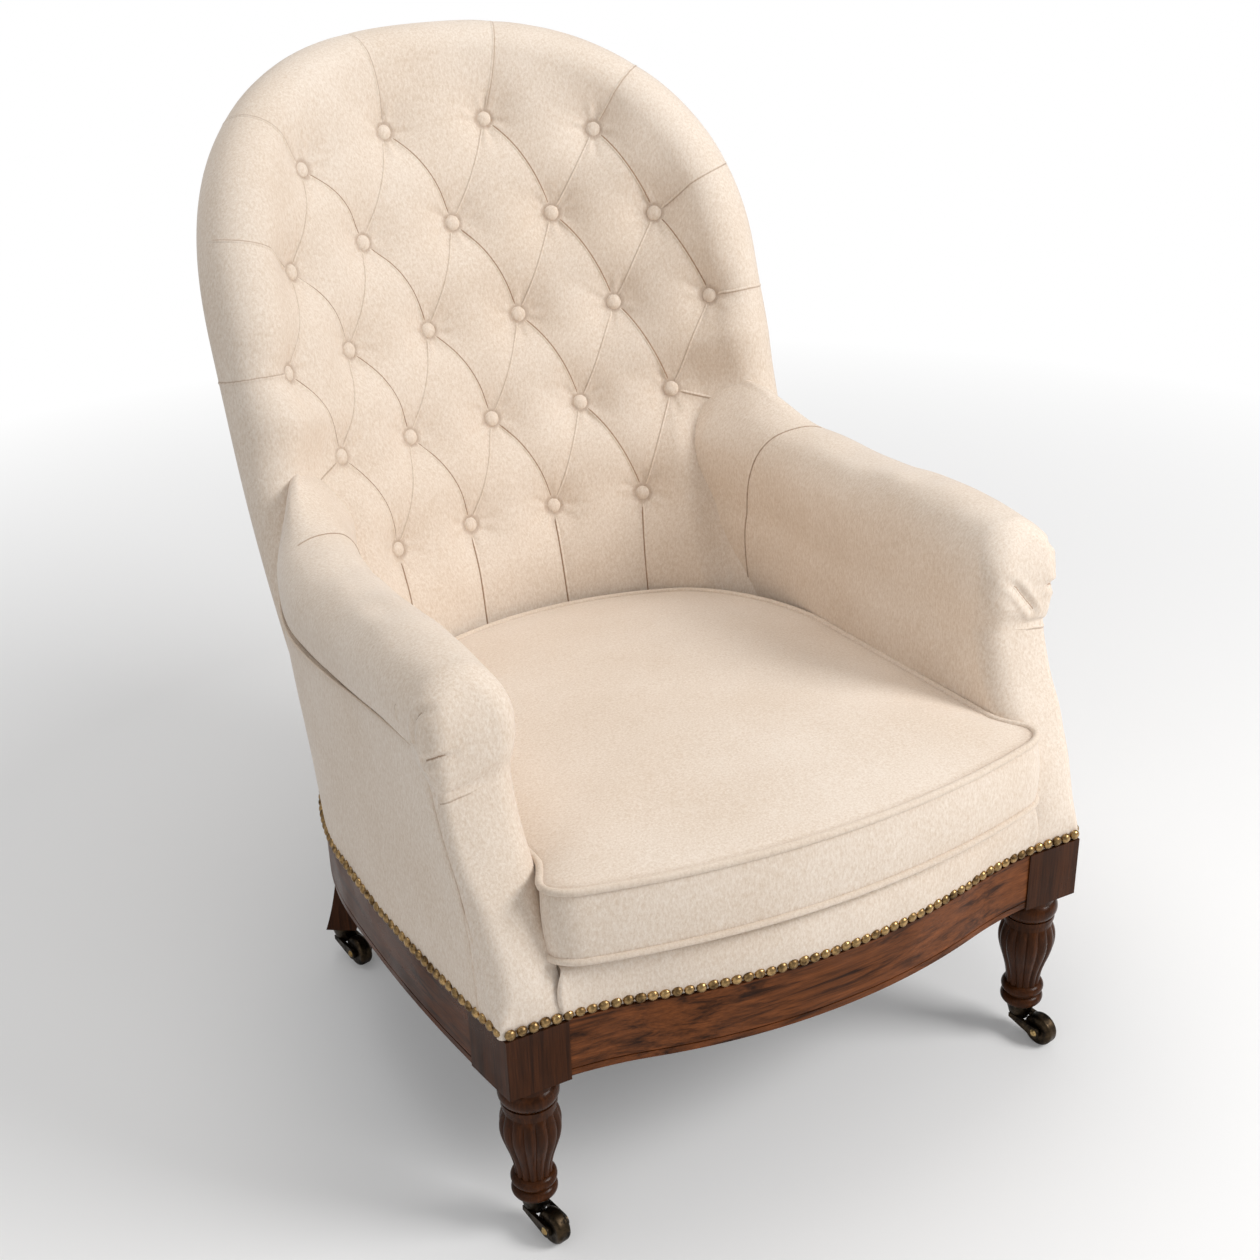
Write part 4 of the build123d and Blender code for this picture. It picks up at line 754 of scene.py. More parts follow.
def outer_x(y, z):
    """Half-width of the arm's outer side, which leans back by its rise and is drawn in at the neck."""
    lean = side_panel_lean * (z - rail_top) / (arm_under - rail_top)
    neck = 0.002 * (1 - step(y, 0.10, 0.24)) * step(z, 0.36, 0.47)
    return side_x(y * seat_side_run / (seat_side_run + lean)) - neck


# %% [markdown]
# An arm is a padded inner wall that rolls over at the top. Its section is one closed line of straights
# and an oval roll, carried from behind the scroll to the back, where its top sweeps up into the side of
# the back. The section stands at one share of the width inside and at another outside at each height.

# %% Rolled arms
arm_inner_x, arm_top, arm_rear_y = 0.262, 0.587, 0.672
arm_roll_height, roll_overhang = 0.050, 0.0015
scroll_start, scroll_front, scroll_neck, roll_power = 0.128, 0.0845, 0.4902, 0.86
arm_waist = arm_top - arm_roll_height
roll_turn_y, sweep_radius, sweep_height = seat_side_run + side_panel_lean, 0.110, 0.030
sweep_start, arm_fall, rear_spread = 0.500, 0.026, 0.034
foot_z = rail_top + 0.0004


def turn_in(y):
    """How far the outer side turns in past the widest place, with the half circle of the seat's rear."""
    return seat_rear_radius - np.sqrt(seat_rear_radius ** 2 - np.clip(y - roll_turn_y, 0, 0.3) ** 2)


def roll_out(y):
    """Half-width of the roll's outer side."""
    return side_x(y) + roll_overhang * (1 - step(y, 0.10, 0.34)) - turn_in(y)


def arm_sweep(y, share):
    """How far the top of the arm lies below its front, and how far its outer side climbs up the back."""
    past = np.clip(y - sweep_start, 0, None)
    bend = np.minimum(past, sweep_radius * math.sin(math.pi / 4))
    climb = sweep_radius - np.sqrt(sweep_radius ** 2 - bend ** 2) + (past - bend)
    climb = sweep_height * np.tanh(climb / sweep_height)
    return -arm_fall * step(y, 0.17, 0.44) + climb * step(share, 0.0, 0.6) * (1 - step(share, 0.72, 0.98))


def section_shares(z):
    """Shares of the width where the roll's inner and outer sides stand at a height."""
    rise = np.clip((z - arm_waist) / arm_roll_height, 0, 1)
    half = 0.5 * np.clip(1 - rise ** (2 / roll_power), 0, 1) ** (roll_power / 2)
    return 0.5 - half, 0.5 + half


def inner_bulge(z, share):
    """How far the roll stands out over the inner wall at a height."""
    swell = np.sin(np.pi * np.clip((z - 0.455) / (arm_top - 0.455), 0, 1)) ** 2
    return 0.005 * swell * np.clip(1 - 4 * share, 0, 1)


def arm_section(count):
    """Places round the arm's section, as shares of its width from the inner wall, and heights."""
    roll = np.linspace(np.pi, 0, 60)
    x = 0.5 + 0.5 * np.sign(np.cos(roll)) * np.abs(np.cos(roll)) ** roll_power
    z = arm_waist + arm_roll_height * np.abs(np.sin(roll)) ** roll_power
    under = [(0.992, 0.520), (0.955, 0.5127), (0.90, 0.5122), (0.62, 0.5122), (0.30, 0.5122), (0.30, foot_z)]
    line = np.array([(0, foot_z), (0, scroll_neck)] + list(zip(x, z)) + under)
    run = length_along(line * [0.1, 1])
    at = np.linspace(0, run[-1], count)
    return np.interp(at, run, line[:, 0]), np.interp(at, run, line[:, 1])


def arm_points(fine):
    """Grid of the right arm, from behind its scroll to the back."""
    share, height = arm_section(int(260 * fine))
    rear = arm_rear_y + (height - arm_top) * math.tan(back_rake) - 0.012 * (height < 0.5)
    y = scroll_start + (rear - scroll_start) * np.linspace(0, 1, int(140 * fine))[:, None]
    z = height + 0 * y
    x = arm_inner_x + share * (roll_out(y) - arm_inner_x) - inner_bulge(z, share)
    x = x - rear_spread * np.clip((y - 0.44) / 0.18, 0, 1) ** 2 * np.clip(1 - 2.2 * share, 0, 1)
    away = step(y, scroll_start, 0.22)
    x = x - 0.0035 * np.sin(np.pi * np.clip((z - 0.34) / 0.16, 0, 1)) ** 2 * (share < 0.02) * away
    z = z + arm_sweep(y, share) * step(z, 0.40, 0.50) + 0.0008 * ripple(y, x * 2, 0.11, 21) * away * (z > 0.5)
    return np.stack([x, y + 0 * x, z], -1)


def mirrored_grid(points):
    """The same grid on the other side."""
    return points * np.array([-1, 1, 1])


def right_and_left(name, points, other=None):
    """A pair of padded pieces from the grid of the right one. other is the left one's, before mirroring."""
    pair = []
    for side in ("right", "left"):
        grid = points if side == "right" else mirrored_grid(points if other is None else other)
        piece = surface(f"{name}_{side}", [grid + np.array([0, front_y, 0])])
        wear(piece, linen, "linen", "root", f"{name}_{side}")
        pair.append(piece)
    return pair


inside_arms = right_and_left("inside_arm", arm_points(1.0))

# %% [markdown]
# The front of each arm is one run of cloth from the rail to the top of the roll. It is a stack of plan
# sections, one for each height: back along the inner wall, round the inner corner, across the front and
# round the outer corner to the seam. From the side its line is a long S, which ends in a scroll that
# hangs over the neck. The scroll's underside is a sharp fold outside and fades inwards.

# %% Arm fronts
facing_top, facing_foot_y, facing_neck_y = 0.4897, 0.004, 0.097
scroll_fold, scroll_widest, scroll_middle = 0.475, 0.530, (0.300, 0.140, 0.533)
facing_shares = ((0.0, 0.0), (0.12, 0.255), (0.575, 0.627), (0.82, 0.78), (1.0, 1.0))


def three_point_arc(a, b, c, count):
    """Points evenly along the circle from a through b to c."""
    ax, ay, bx, by, cx, cy = *a, *b, *c
    d = 2 * (ax * (by - cy) + bx * (cy - ay) + cx * (ay - by))
    ux = ((ax**2 + ay**2) * (by - cy) + (bx**2 + by**2) * (cy - ay) + (cx**2 + cy**2) * (ay - by)) / d
    uy = ((ax**2 + ay**2) * (cx - bx) + (bx**2 + by**2) * (ax - cx) + (cx**2 + cy**2) * (bx - ax)) / d
    first, middle, last = (math.atan2(p[1] - uy, p[0] - ux) for p in (a, b, c))
    sweep = (last - first) % (2 * np.pi)
    if (middle - first) % (2 * np.pi) > sweep:
        sweep -= 2 * np.pi
    angle = first + sweep * np.linspace(0, 1, count)
    radius = math.hypot(ax - ux, ay - uy)
    return np.stack([ux + radius * np.cos(angle), uy + radius * np.sin(angle)], -1)


def facing_profile(count):
    """Depth and height up the arm front, evenly spaced in height."""
    reach, rise = facing_neck_y - facing_foot_y, facing_top - rail_top
    p = [(facing_foot_y + reach * a, foot_z + (rise - 0.0006) * b) for a, b in facing_shares]
    line = np.concatenate([three_point_arc(*p[0:3], 60), three_point_arc(*p[2:5], 60)[1:]])
    z = np.linspace(line[0, 1], line[-1, 1], count)
    return np.interp(z, line[:, 1], line[:, 0]), z


def facing_y(z):
    """Depth of the arm front's face at a height, straight above the neck."""
    y, height = facing_profile(160)
    return np.interp(z, height, y)


def seam_back(z):
    """How far behind the face the seam with the outside arm runs."""
    return 0.012 + 0.027 * (1 - step(z, rail_top, 0.44))


def front_face(share, z):
    """Depth of the cloth at a share of the width: the S line, blended into the scroll above its fold."""
    low = facing_y(z) - 0.0045 * np.sin(np.pi * np.clip(share, 0, 1)) * step(z, foot_z, 0.30)
    below = np.clip((scroll_widest - z) / 0.052, 0, 1)
    above = np.clip((z - scroll_widest) / (arm_top - scroll_widest), 0, 1)
    over = scroll_start - (scroll_start - scroll_front) * np.sqrt(np.clip(1 - above ** 2, 0, 1))
    under = scroll_front + 0.011 * (1 - (1 - below ** 2.4) ** (1 / 2.4))
    scroll = np.where(z < scroll_widest, under, over)
    inward = np.clip(1 - share, 0, 1)
    fold, soft = 0.479 + 0.016 * inward, 0.0015 + 0.030 * inward ** 1.5
    return low + (scroll - low) * step(z, fold - soft, fold + soft)


arm_seam = ((0.247, 0.540, 0.331), (0.246, 0.545, 0.385), (0.247, 0.545, 0.445), (0.252, 0.537, 0.500),
            (0.266, 0.522, 0.544), (0.295, 0.508, 0.561), (0.330, 0.500, 0.556))
side_gathers = (((0.3516, 0.1474, 0.5525), (0.3532, 0.1512, 0.5387), (0.3517, 0.1453, 0.5278)),
                ((0.3378, 0.0985, 0.5647), (0.3462, 0.1044, 0.5592), (0.3508, 0.1133, 0.5408),
                 (0.3508, 0.1135, 0.5284)),
                ((0.3259, 0.0855, 0.5222), (0.3381, 0.0884, 0.5203), (0.3479, 0.1005, 0.5128)))
under_fold = ((0.3390, 0.1080, 0.4640), (0.3245, 0.0909, 0.4730), (0.3054, 0.0898, 0.4760),
              (0.2847, 0.0912, 0.4834), (0.2700, 0.0960, 0.4920))
inner_gather = ((0.2770, 0.0863, 0.5403), (0.2877, 0.0846, 0.5316), (0.3004, 0.0845, 0.5171),
                (0.3112, 0.0853, 0.5038), (0.3160, 0.0900, 0.4960))


def smooth_path(points, count):
    """Even points on a smooth curve through given ones: cubics whose slopes are those of the polygon."""
    points = np.array(points)
    run = length_along(points)
    slope = np.gradient(points, run, axis=0)
    at = np.linspace(0, run[-1], count)
    k = np.clip(np.searchsorted(run, at, side="right") - 1, 0, len(points) - 2)
    span = (run[k + 1] - run[k])[:, None]
    t = (at[:, None] - run[k][:, None]) / span
    return (points[k] * (2 * t ** 3 - 3 * t ** 2 + 1) + points[k + 1] * (3 * t ** 2 - 2 * t ** 3)
            + slope[k] * span * (t ** 3 - 2 * t ** 2 + t) + slope[k + 1] * span * (t ** 3 - t ** 2))


def pressed(points, paths, depth=0.0028, width=0.0042):
    """Press grooves along paths into points: in by a bell of the distance, out by half beside it."""
    away = points - np.array(scroll_middle)
    away /= np.linalg.norm(away, axis=-1, keepdims=True)
    move = np.zeros(points.shape[:2])
    for path in paths:
        line = smooth_path(path, 30)
        gap = np.linalg.norm(points[:, :, None] - line, axis=-1)
        near = gap.min(-1)
        fade = np.interp(gap.argmin(-1) / 29, [0, 0.4, 1], [0.2, 1, 1])
        move += fade * (0.5 * np.exp(-((near - 2 * width) / width) ** 2) - np.exp(-(near / width) ** 2))
    return points + depth * move[..., None] * away


def front_grid(fine):
    """Rows up the arm front, columns along the plan section from the inner to the outer side."""
    top = arm_waist + arm_roll_height * np.sin(np.linspace(0, np.pi / 2, int(44 * fine))) ** roll_power
    z = np.concatenate([np.linspace(foot_z, 0.460, int(76 * fine), endpoint=False),
                        np.linspace(0.460, arm_waist, int(56 * fine), endpoint=False), top])[:, None]
    inner, outer = section_shares(z)
    wide = roll_out(scroll_start) - arm_inner_x
    low_out = outer_x(facing_y(z) + seam_back(z) * 0.5, np.minimum(z, arm_under))
    rolled = arm_inner_x + wide * np.where(z < 0.524, 0.985, outer)
    left = arm_inner_x + wide * inner - inner_bulge(z, inner)
    right = low_out + (rolled - low_out) * step(z, 0.474, 0.518)
    width = right - left
    round_in = np.minimum(0.0012 + 0.0238 * step(z, 0.319, 0.362), 0.48 * width)
    round_out = 0.006 + 0.014 * step(z, foot_z, 0.31)
    above_fold = 0.012 + 0.010 * step(z, scroll_fold, 0.52)
    round_out = np.where(z < scroll_fold, np.minimum(round_out, seam_back(z)), above_fold)
    round_out = np.minimum(round_out, 0.48 * width)
    corner = np.linspace(0, np.pi / 2, int(15 * fine))
    middle = np.linspace(0, 1, int(34 * fine))[1:-1]
    x = np.concatenate([left + round_in * (1 - np.cos(corner)),
                        left + round_in + (width - round_in - round_out) * middle,
                        right - round_out * (1 - np.sin(corner))], 1)
    near_in = np.clip(1 - (x - left) / np.maximum(round_in, 1e-6), 0, 1)
    near_out = np.clip(1 - (right - x) / np.maximum(round_out, 1e-6), 0, 1)
    face = front_face((x - left) / np.maximum(width, 1e-6), z)
    room = np.clip(scroll_start - face, 0, None)
    y = face + np.minimum(round_in, room) * (1 - np.sqrt(1 - near_in ** 2))
    y = y + np.minimum(round_out, room) * (1 - np.sqrt(1 - near_out ** 2))
    y = y + 0.0007 * ripple(x, z, 0.07, 5) * step(scroll_start - y, 0, 0.02)
    back_in = y[:, :1] + (scroll_start - y[:, :1]) * np.linspace(1, 0, int(12 * fine))[:-1]
    seam = facing_y(z) + seam_back(z)
    seam = seam + (scroll_start - seam) * step(z, 0.486, 0.504)
    seam = np.maximum(seam, y[:, -1:])
    side = y[:, -1:] + (seam - y[:, -1:]) * np.linspace(0, 1, int(8 * fine))[1:]
    side_out = np.where(z < scroll_fold, outer_x(side, np.minimum(z, arm_under)), right)
    tuck = 0.0062 * (1 - step(z, 0.497, 0.512))
    x = np.concatenate([left + 0 * back_in, x, side_out, right - tuck, right - tuck], 1)
    y = np.concatenate([back_in, y, side, np.minimum(seam + 0.003, scroll_start), scroll_start + 0 * seam], 1)
    return np.stack([x, y, z + 0 * x], -1)


facing = front_grid(1.3)
facing_left = pressed(facing, side_gathers)
facing = pressed(facing, side_gathers + (inner_gather,))
arm_fronts = right_and_left("arm_front", facing, other=facing_left)

# %% [markdown]
# Where the arm meets the back its cover is sewn down in a curved seam. On the scroll the cloth is gathered
# by hand: short folds run in from the outer side and one lies under the scroll. As in the picture, only the
# right scroll has a fold on its inner side. The paths were read off the picture as points in space, and
# each strip is then set on the nearest cloth.

# %% Seam with the back and gathers of the scroll
def on_side(points, count, side):
    """Smooth path on the right or, mirrored, on the left arm."""
    return smooth_path(points, count) * np.array([side, 1, 1]) + np.array([0, front_y, 0])


fine = 48
for side, word, arm, front in zip((1, -1), ("right", "left"), inside_arms, arm_fronts):
    strips = [fold_strip(arm, on_side(arm_seam, 2 * fine, side), 0.9, side, 0.75, (0.02, 0.02))]
    folds = side_gathers[1:] + ((inner_gather,) if word == "right" else ())
    strips.append(fold_strip(arm, on_side(side_gathers[0], fine, side), 1.0, -side, 0.7, (0.2, 0.2)))
    strips += [fold_strip(front, on_side(points, fine, side), 1.0, -side, 0.75, (0.3, 0.05))
               for points in folds]
    strips.append(fold_strip(front, on_side(under_fold, fine, side), 1.1, -side, 0.5, (0.06, 0.7)))
    fold_object(f"arm_folds_{word}", strips)

# %% [markdown]
# The outside of the arm is a covered panel that leans back and is drawn tight, slightly hollow towards
# the rear. It starts behind the arm front and ends against the rim of the back. It is a thin closed
# shell, an outer sheet, a turned edge and an inner sheet, so that it has a real thickness at its edges.

# %% Outside arms
def outer_side(share, z, inset, front):
    """Point on the arm's outer side at a share of its run from a front depth to the rear, at a height."""
    lean = side_panel_lean * (z - rail_top) / (arm_under - rail_top)
    widest = seat_side_run + lean
    run = front + share * (widest + seat_rear_radius * rear_turn - front)
    turn = np.clip((run - widest) / seat_rear_radius, 0, None)
    radius = seat_rear_radius - inset
    x = np.where(turn > 0, radius * np.cos(turn), outer_x(np.minimum(run, widest), z) - inset)
    y = np.where(turn > 0, widest + radius * np.sin(turn), run)
    return np.stack([x, y, z + 0 * x], -1)


def outside_arm_grid():
    """Rows from the rail to the roll, columns from the front edge to the rear and back inside."""
    z = np.linspace(rail_top + 0.0004, arm_under - 0.0004, 60)[:, None]
    share = np.concatenate([np.linspace(0, 1, 90), np.linspace(1, 0, 20)])
    thin = np.concatenate([np.zeros(90), np.full(20, 0.0055)])
    edge = np.minimum(np.minimum(z - z[0], z[-1] - z), 0.01) / 0.01
    lead = np.clip(share[None, :] / 0.02, 0, 1)
    tight = 0.0018 * (1 - np.sqrt(np.clip(edge * (2 - edge), 0, 1)) * np.sqrt(lead * (2 - lead)))
    front = facing_y(z) + seam_back(z) + 0.0015
    points = outer_side(share + 0 * z, z + 0 * share, thin + tight * (thin == 0), front)
    rise = (z - rail_top) / (arm_under - rail_top)
    points[..., 2] += arm_sweep(points[..., 1], 0) * rise
    points[..., 0] += 0.0006 * ripple(points[..., 1], points[..., 2], 0.16, 12) * (thin == 0)
    return points


right_and_left("outside_arm", outside_arm_grid())

# %% [markdown]
# Welts are thin rolls of the same cloth, sewn into seams. A curve with a bevel would do. Here each is a
# circle carried along a path, so it joins the other grids as a plain mesh. The circle's plane comes from
# the path's direction and the upright.

# %% Welts along seams
welt_radius = 0.0016


def tube(path, radius, closed, sides):
    """Grid of a round tube along a path of points."""
    ahead = np.roll(path, -1, 0) - np.roll(path, 1, 0)
    if not closed:
        ahead[0], ahead[-1] = path[1] - path[0], path[-1] - path[-2]
    ahead /= np.linalg.norm(ahead, axis=1, keepdims=True)
    side = np.cross(ahead, np.array([0.0, 0.0, 1.0]))
    side /= np.linalg.norm(side, axis=1, keepdims=True)
    over = np.cross(side, ahead)
    turn = np.linspace(0, 2 * np.pi, sides, endpoint=False)
    ring = np.cos(turn)[None, :, None] * side[:, None] + np.sin(turn)[None, :, None] * over[:, None]
    return path[:, None] + radius * ring


def tube_object(name, paths, radius, closed=False, sides=8):
    """One mesh of tubes along several paths."""
    return surface(name, [tube(path, radius, closed, sides) for path in paths], wrap_rows=closed)


def both_sides(path):
    """A path in the chair's frame on the right and on the left."""
    path = path + np.array([0, front_y, 0])
    return [path, mirrored_grid(path)]


def facing_edge():
    """Outer edge of the arm front, foot to neck."""
    y, z = facing_profile(80)
    y = y + seam_back(z)
    return np.stack([outer_x(y, z) - 0.0004, y + 0.0006, z], -1)


def roll_seam():
    """Seam under the outside of the roll, from the scroll to the back."""
    y = np.linspace(0.114, 0.595, 110)
    lip = outer_x(np.minimum(y, roll_turn_y), arm_under) - turn_in(y)
    return np.stack([lip + 0.0004, y, arm_under - 0.0006 + arm_sweep(y, 0)], -1)


arm_welts = tube_object("arm_welts", both_sides(facing_edge()) + both_sides(roll_seam()), welt_radius)
wear(arm_welts, piping_cloth, "linen", "root")

# %% [markdown]
# The loose cushion has a boxed edge between two piped seams and a crowned top. Its outline is a bowed
# front, straight sides and an arched rear with large rounded corners. In front of the arms it swells out
# a little, so that its corners lie over the arm fronts. It is drawn flat in its own frame and then laid
# on the sloping deck, and its rear leans with the back.

# %% Outline of the cushion
seat_slope, deck_height = math.radians(5.4), 0.325
cushion_half, cushion_front_y, cushion_bow = 0.2585, 0.002, 0.048
cushion_side_rear_y, cushion_rear_y = 0.476, 0.590
cushion_height, cushion_crown, piping_radius = 0.076, 0.027, 0.0038
cushion_ears, ears_start, ears_end = 0.085, 0.004, 0.066
lean_start, lean_end, seam_reach = 0.30, 0.52, 0.0045
front_corner, rear_corner = 0.030, 0.105


def on_deck(points):
    """Lay points of the deck's frame on the slope, in the chair's place."""
    return tilted(points, seat_slope, np.array([0, front_y, deck_height]))


def rounded(path, corners, count, weight=0.75):
    """Even points along a closed path whose corners, (index, reach), are rounded by weighted parabolas."""
    pieces, last = [], 0
    for at, reach in corners:
        run = length_along(path)
        before = np.searchsorted(run, run[at] - reach)
        after = np.searchsorted(run, run[at] + reach)
        a, b, c = path[before], path[at], path[min(after, len(path) - 1)]
        t = np.linspace(0, 1, 24)[:, None]
        lower = (1 - t) ** 2 + 2 * weight * t * (1 - t) + t ** 2
        curve = ((1 - t) ** 2 * a + 2 * weight * t * (1 - t) * b + t ** 2 * c) / lower
        pieces += [path[last:before], curve]
        last = after + 1
    pieces.append(path[last:])
    line = np.concatenate(pieces)
    line = np.concatenate([line, line[:1]])
    run = length_along(line)
    keep = np.concatenate([[True], np.diff(run) > 1e-9])
    at = np.linspace(0, run[-1], count, endpoint=False)
    return np.stack([np.interp(at, run[keep], line[keep, k]) for k in (0, 1)], -1)


def cushion_outline(count):
    """Closed plan outline in the cushion's frame, anticlockwise from the middle of the front."""
    front = three_point_arc((-cushion_half, cushion_front_y), (0, cushion_front_y - cushion_bow),
                            (cushion_half, cushion_front_y), 400)
    rear = three_point_arc((cushion_half, cushion_side_rear_y), (0, cushion_rear_y),
                           (-cushion_half, cushion_side_rear_y), 500)
    side = np.linspace(cushion_front_y, cushion_side_rear_y, 300)[1:-1]
    right = np.stack([np.full(side.shape, cushion_half), side], -1)
    left = right[::-1] * [-1, 1]
    path = np.concatenate([front[200:], right, rear, left, front[:200]])
    corner = np.cumsum([199, 299, 499, 299])
    return rounded(path, zip(corner, (front_corner, rear_corner, rear_corner, front_corner)), count)


outline = cushion_outline(360)
print("cushion outline", outline.min(0), outline.max(0))

# %% [markdown]
# The cushion is one grid of rings: base, lower seam, boxing, upper seam and a crown that closes in rings
# to the middle. The boxing swells a few millimetres between its seams, as a stuffed case does, by half a
# sine. The crown falls to the seam by a power of the distance from the middle.

# %% Cushion
def cushion_rings():
    """Share of the outline's size, height and inset of each ring, from base to crown."""
    scale = [0.0, 0.25, 0.5, 0.75, 0.93, 1.0]
    height = [0.002, 0.0012, 0.0006, 0.0002, 0.0, piping_radius]
    inset = [0, 0, 0, 0, 0, 0]
    for t in np.linspace(0, 1, 12)[1:]:
        scale.append(1.0)
        height.append(piping_radius + (cushion_height - piping_radius) * t)
        inset.append(-0.0035 * np.sin(np.pi * t))
    for t in np.linspace(0, 1, 30)[1:]:
        scale.append(1 - t)
        height.append(cushion_height + cushion_crown * (1 - (1 - t) ** 2.6))
        inset.append(0)
    return np.array(scale), np.array(height), np.array(inset)


def cushion_points(scale, height, inset, outline):
    """Rings of the outline shrunk towards its middle, leaning with the back."""
    centre = np.array([0.0, (outline[:, 1].min() + outline[:, 1].max()) / 2])
    away = outline - centre
    away /= np.linalg.norm(away, axis=1, keepdims=True)
    ring = centre + (outline - centre) * scale[:, None, None] - away * inset[:, None, None]
    ring[..., 0] *= 1 + cushion_ears * (1 - step(outline[:, 1], ears_start, ears_end)) * scale[:, None] ** 8
    lean = height[:, None] * math.tan(back_rake) * step(ring[..., 1], lean_start, lean_end)
    z = height[:, None] + 0 * lean
    return np.stack([ring[..., 0], ring[..., 1] + lean, z], -1)


scale, height, inset = cushion_rings()
# Painted shade in the cloth along both piped seams.
seam_shade = sum(np.exp(-((height - level) / seam_reach) ** 2) for level in (piping_radius, cushion_height))
rings = cushion_points(scale, height, inset, outline)
shading = np.repeat(0.35 * seam_shade * (scale > 0.97), rings.shape[1])
seat_cushion = surface("seat_cushion", [on_deck(rings)], [shading])
wear(seat_cushion, linen, "linen", "cushion", "seat_cushion")

# %% [markdown]
# The piping is a cord covered in cloth that follows the two seams all the way round the cushion. Its path
# is the cushion's own outline at the seam's height, so it can't leave the seam.

# %% Cushion piping
for name, level in (("cushion_piping_bottom", piping_radius), ("cushion_piping_top", cushion_height)):
    one = np.array([1.0]), np.array([level]), np.array([0.0])
    path = on_deck(cushion_points(*one, cushion_outline(300))[0])
    welt = tube_object(name, [path], piping_radius, closed=True, sides=12)
    wear(welt, piping_cloth, "linen", "cushion", name)

# %% [markdown]
# Below the cushion a padded lip follows the bow of the front rail. Its ends lie a little over the foot of
# the arm fronts and close in a curved seam. The bow itself is a hollow, a swell and a hollow, made of three
# arcs that run into each other.

# %% Front border
front_bow, turn_share, rise_share = 0.040, 0.70, 0.36
lip_thick, lip_rise, lip_over, lip_swell, lip_curve = 0.012, 0.058, 0.0075, 0.0055, 0.056


def bow_y(x, half, start):
    """Depth of the serpentine front at x: a middle arc, and end arcs that leave it tangentially."""
    turn_x, turn_y = half * turn_share, start - front_bow * rise_share
    sagitta = front_bow * (1 - rise_share)
    radius = (turn_x ** 2 + sagitta ** 2) / (2 * sagitta)
    slope = math.asin(turn_x / radius)
    middle = start - front_bow + radius - np.sqrt(radius ** 2 - np.minimum(np.abs(x), turn_x) ** 2)
    dx, dy = half - turn_x, start - turn_y
    normal = -dx * math.sin(slope) + dy * math.cos(slope)
    bend = (dx ** 2 + dy ** 2) / (2 * normal)
    cx, cy = turn_x - bend * math.sin(slope), turn_y + bend * math.cos(slope)
    end = cy + np.sqrt(np.clip(bend ** 2 - (np.maximum(np.abs(x), turn_x) - cx) ** 2, 0, None))
    return np.where(np.abs(x) < turn_x, middle, end)


def border_grid():
    """Columns along the bow; rows round the lip's section, from its back foot over the front."""
    high = rail_top + lip_rise
    turn = np.linspace(0, np.pi, 14)
    depth = np.concatenate([[lip_thick, 0.0008, 0], np.full(12, 0.0),
                            lip_thick / 2 * (1 - np.cos(turn[1:])), [lip_thick]])
    rise = np.concatenate([[0, 0, 0.001], np.linspace(0.004, 0.050, 12), 0.052 + 0.006 * np.sin(turn[1:]),
                           [0.03]])
    swell = np.sin(np.pi * np.clip(rise / lip_curve, 0, 1))[:, None]
    half = arm_inner_x + lip_over + lip_swell * swell
    x = half * np.linspace(-1, 1, 300)
    full = swell ** 0.7 * (depth[:, None] < 0.001)
    z = foot_z + rise[:, None] * (high - foot_z) / lip_rise + 0 * x
    end = np.clip((half - np.abs(x)) / 0.004, 0, 1)
    y = bow_y(np.clip(x, -arm_inner_x, arm_inner_x), arm_inner_x, facing_foot_y) + depth[:, None]
    y = y - full * 0.0036 * np.sqrt(1 - (1 - end) ** 2) + 0.0005 * ripple(x, z, 0.09, 17) * full
    return np.stack([x + 0 * z, y + front_y, z], -1)


front_border = surface("front_border", [border_grid()], wrap_cols=False)
wear(front_border, linen, "linen", "root", "front_border")

# %% [markdown]
# The deck is the stuffed platform under the cushion, in plain canvas. It only shows when the cushion is
# lifted out, so a stack of shrunken outlines with a soft edge is enough.

# %% Deck
deck_clearance, deck_side_y, deck_rear_corner = 0.0006, 0.443, (0.045, 0.488)
deck_front_y, deck_rear_y, deck_middle_y = 0.0195, 0.604, 0.28


def deck_outline():
    """Plan of the deck between the arms, anticlockwise from the right end of the front."""
    half = arm_inner_x - deck_clearance
    rear_x, corner_y = half - deck_rear_corner[0], deck_rear_corner[1]
    x = np.linspace(-half, half, 160)
    front = np.stack([x, bow_y(x, half, deck_front_y)], -1)
    rear = three_point_arc((rear_x, corner_y), (0, deck_rear_y), (-rear_x, corner_y), 160)
    return np.concatenate([front, [[half, deck_side_y]], rear, [[-half, deck_side_y]]])


def deck_rings():
    """Rings from the underside over a soft edge to the slightly crowned top."""
    plan = deck_outline()
    centre = np.array([0.0, deck_middle_y])
    shrink = np.concatenate([[0.0, 0.5, 0.98, 0.999, 0.999], 1 - np.array([0.004, 0.012, 0.03]),
                             np.linspace(0.93, 0.0, 16)])
    height = np.concatenate([[-0.029, -0.0295, -0.0295, -0.026, -0.010], [-0.005, -0.0022, -0.0009],
                             np.full(16, -0.0004)])
    ring = centre + (plan - centre) * shrink[:, None, None]
    return np.concatenate([ring, np.broadcast_to(height[:, None, None], ring.shape[:2] + (1,))], -1)


seat_deck = surface("seat_deck", [on_deck(deck_rings())])
wear(seat_deck, canvas, "canvas", "root", "seat_deck")

# %% [markdown]
# Black cambric closes the seat from below. It is stretched on the rails' underside, so it only sags
# a few millimetres between its tacked edges, which a square of the distance from its middle gives.

# %% Dust cover
cover_inset, cover_front, leg_block, cover_middle_y, cover_sag = 0.0125, 0.014, 0.0655, 0.33, 0.003


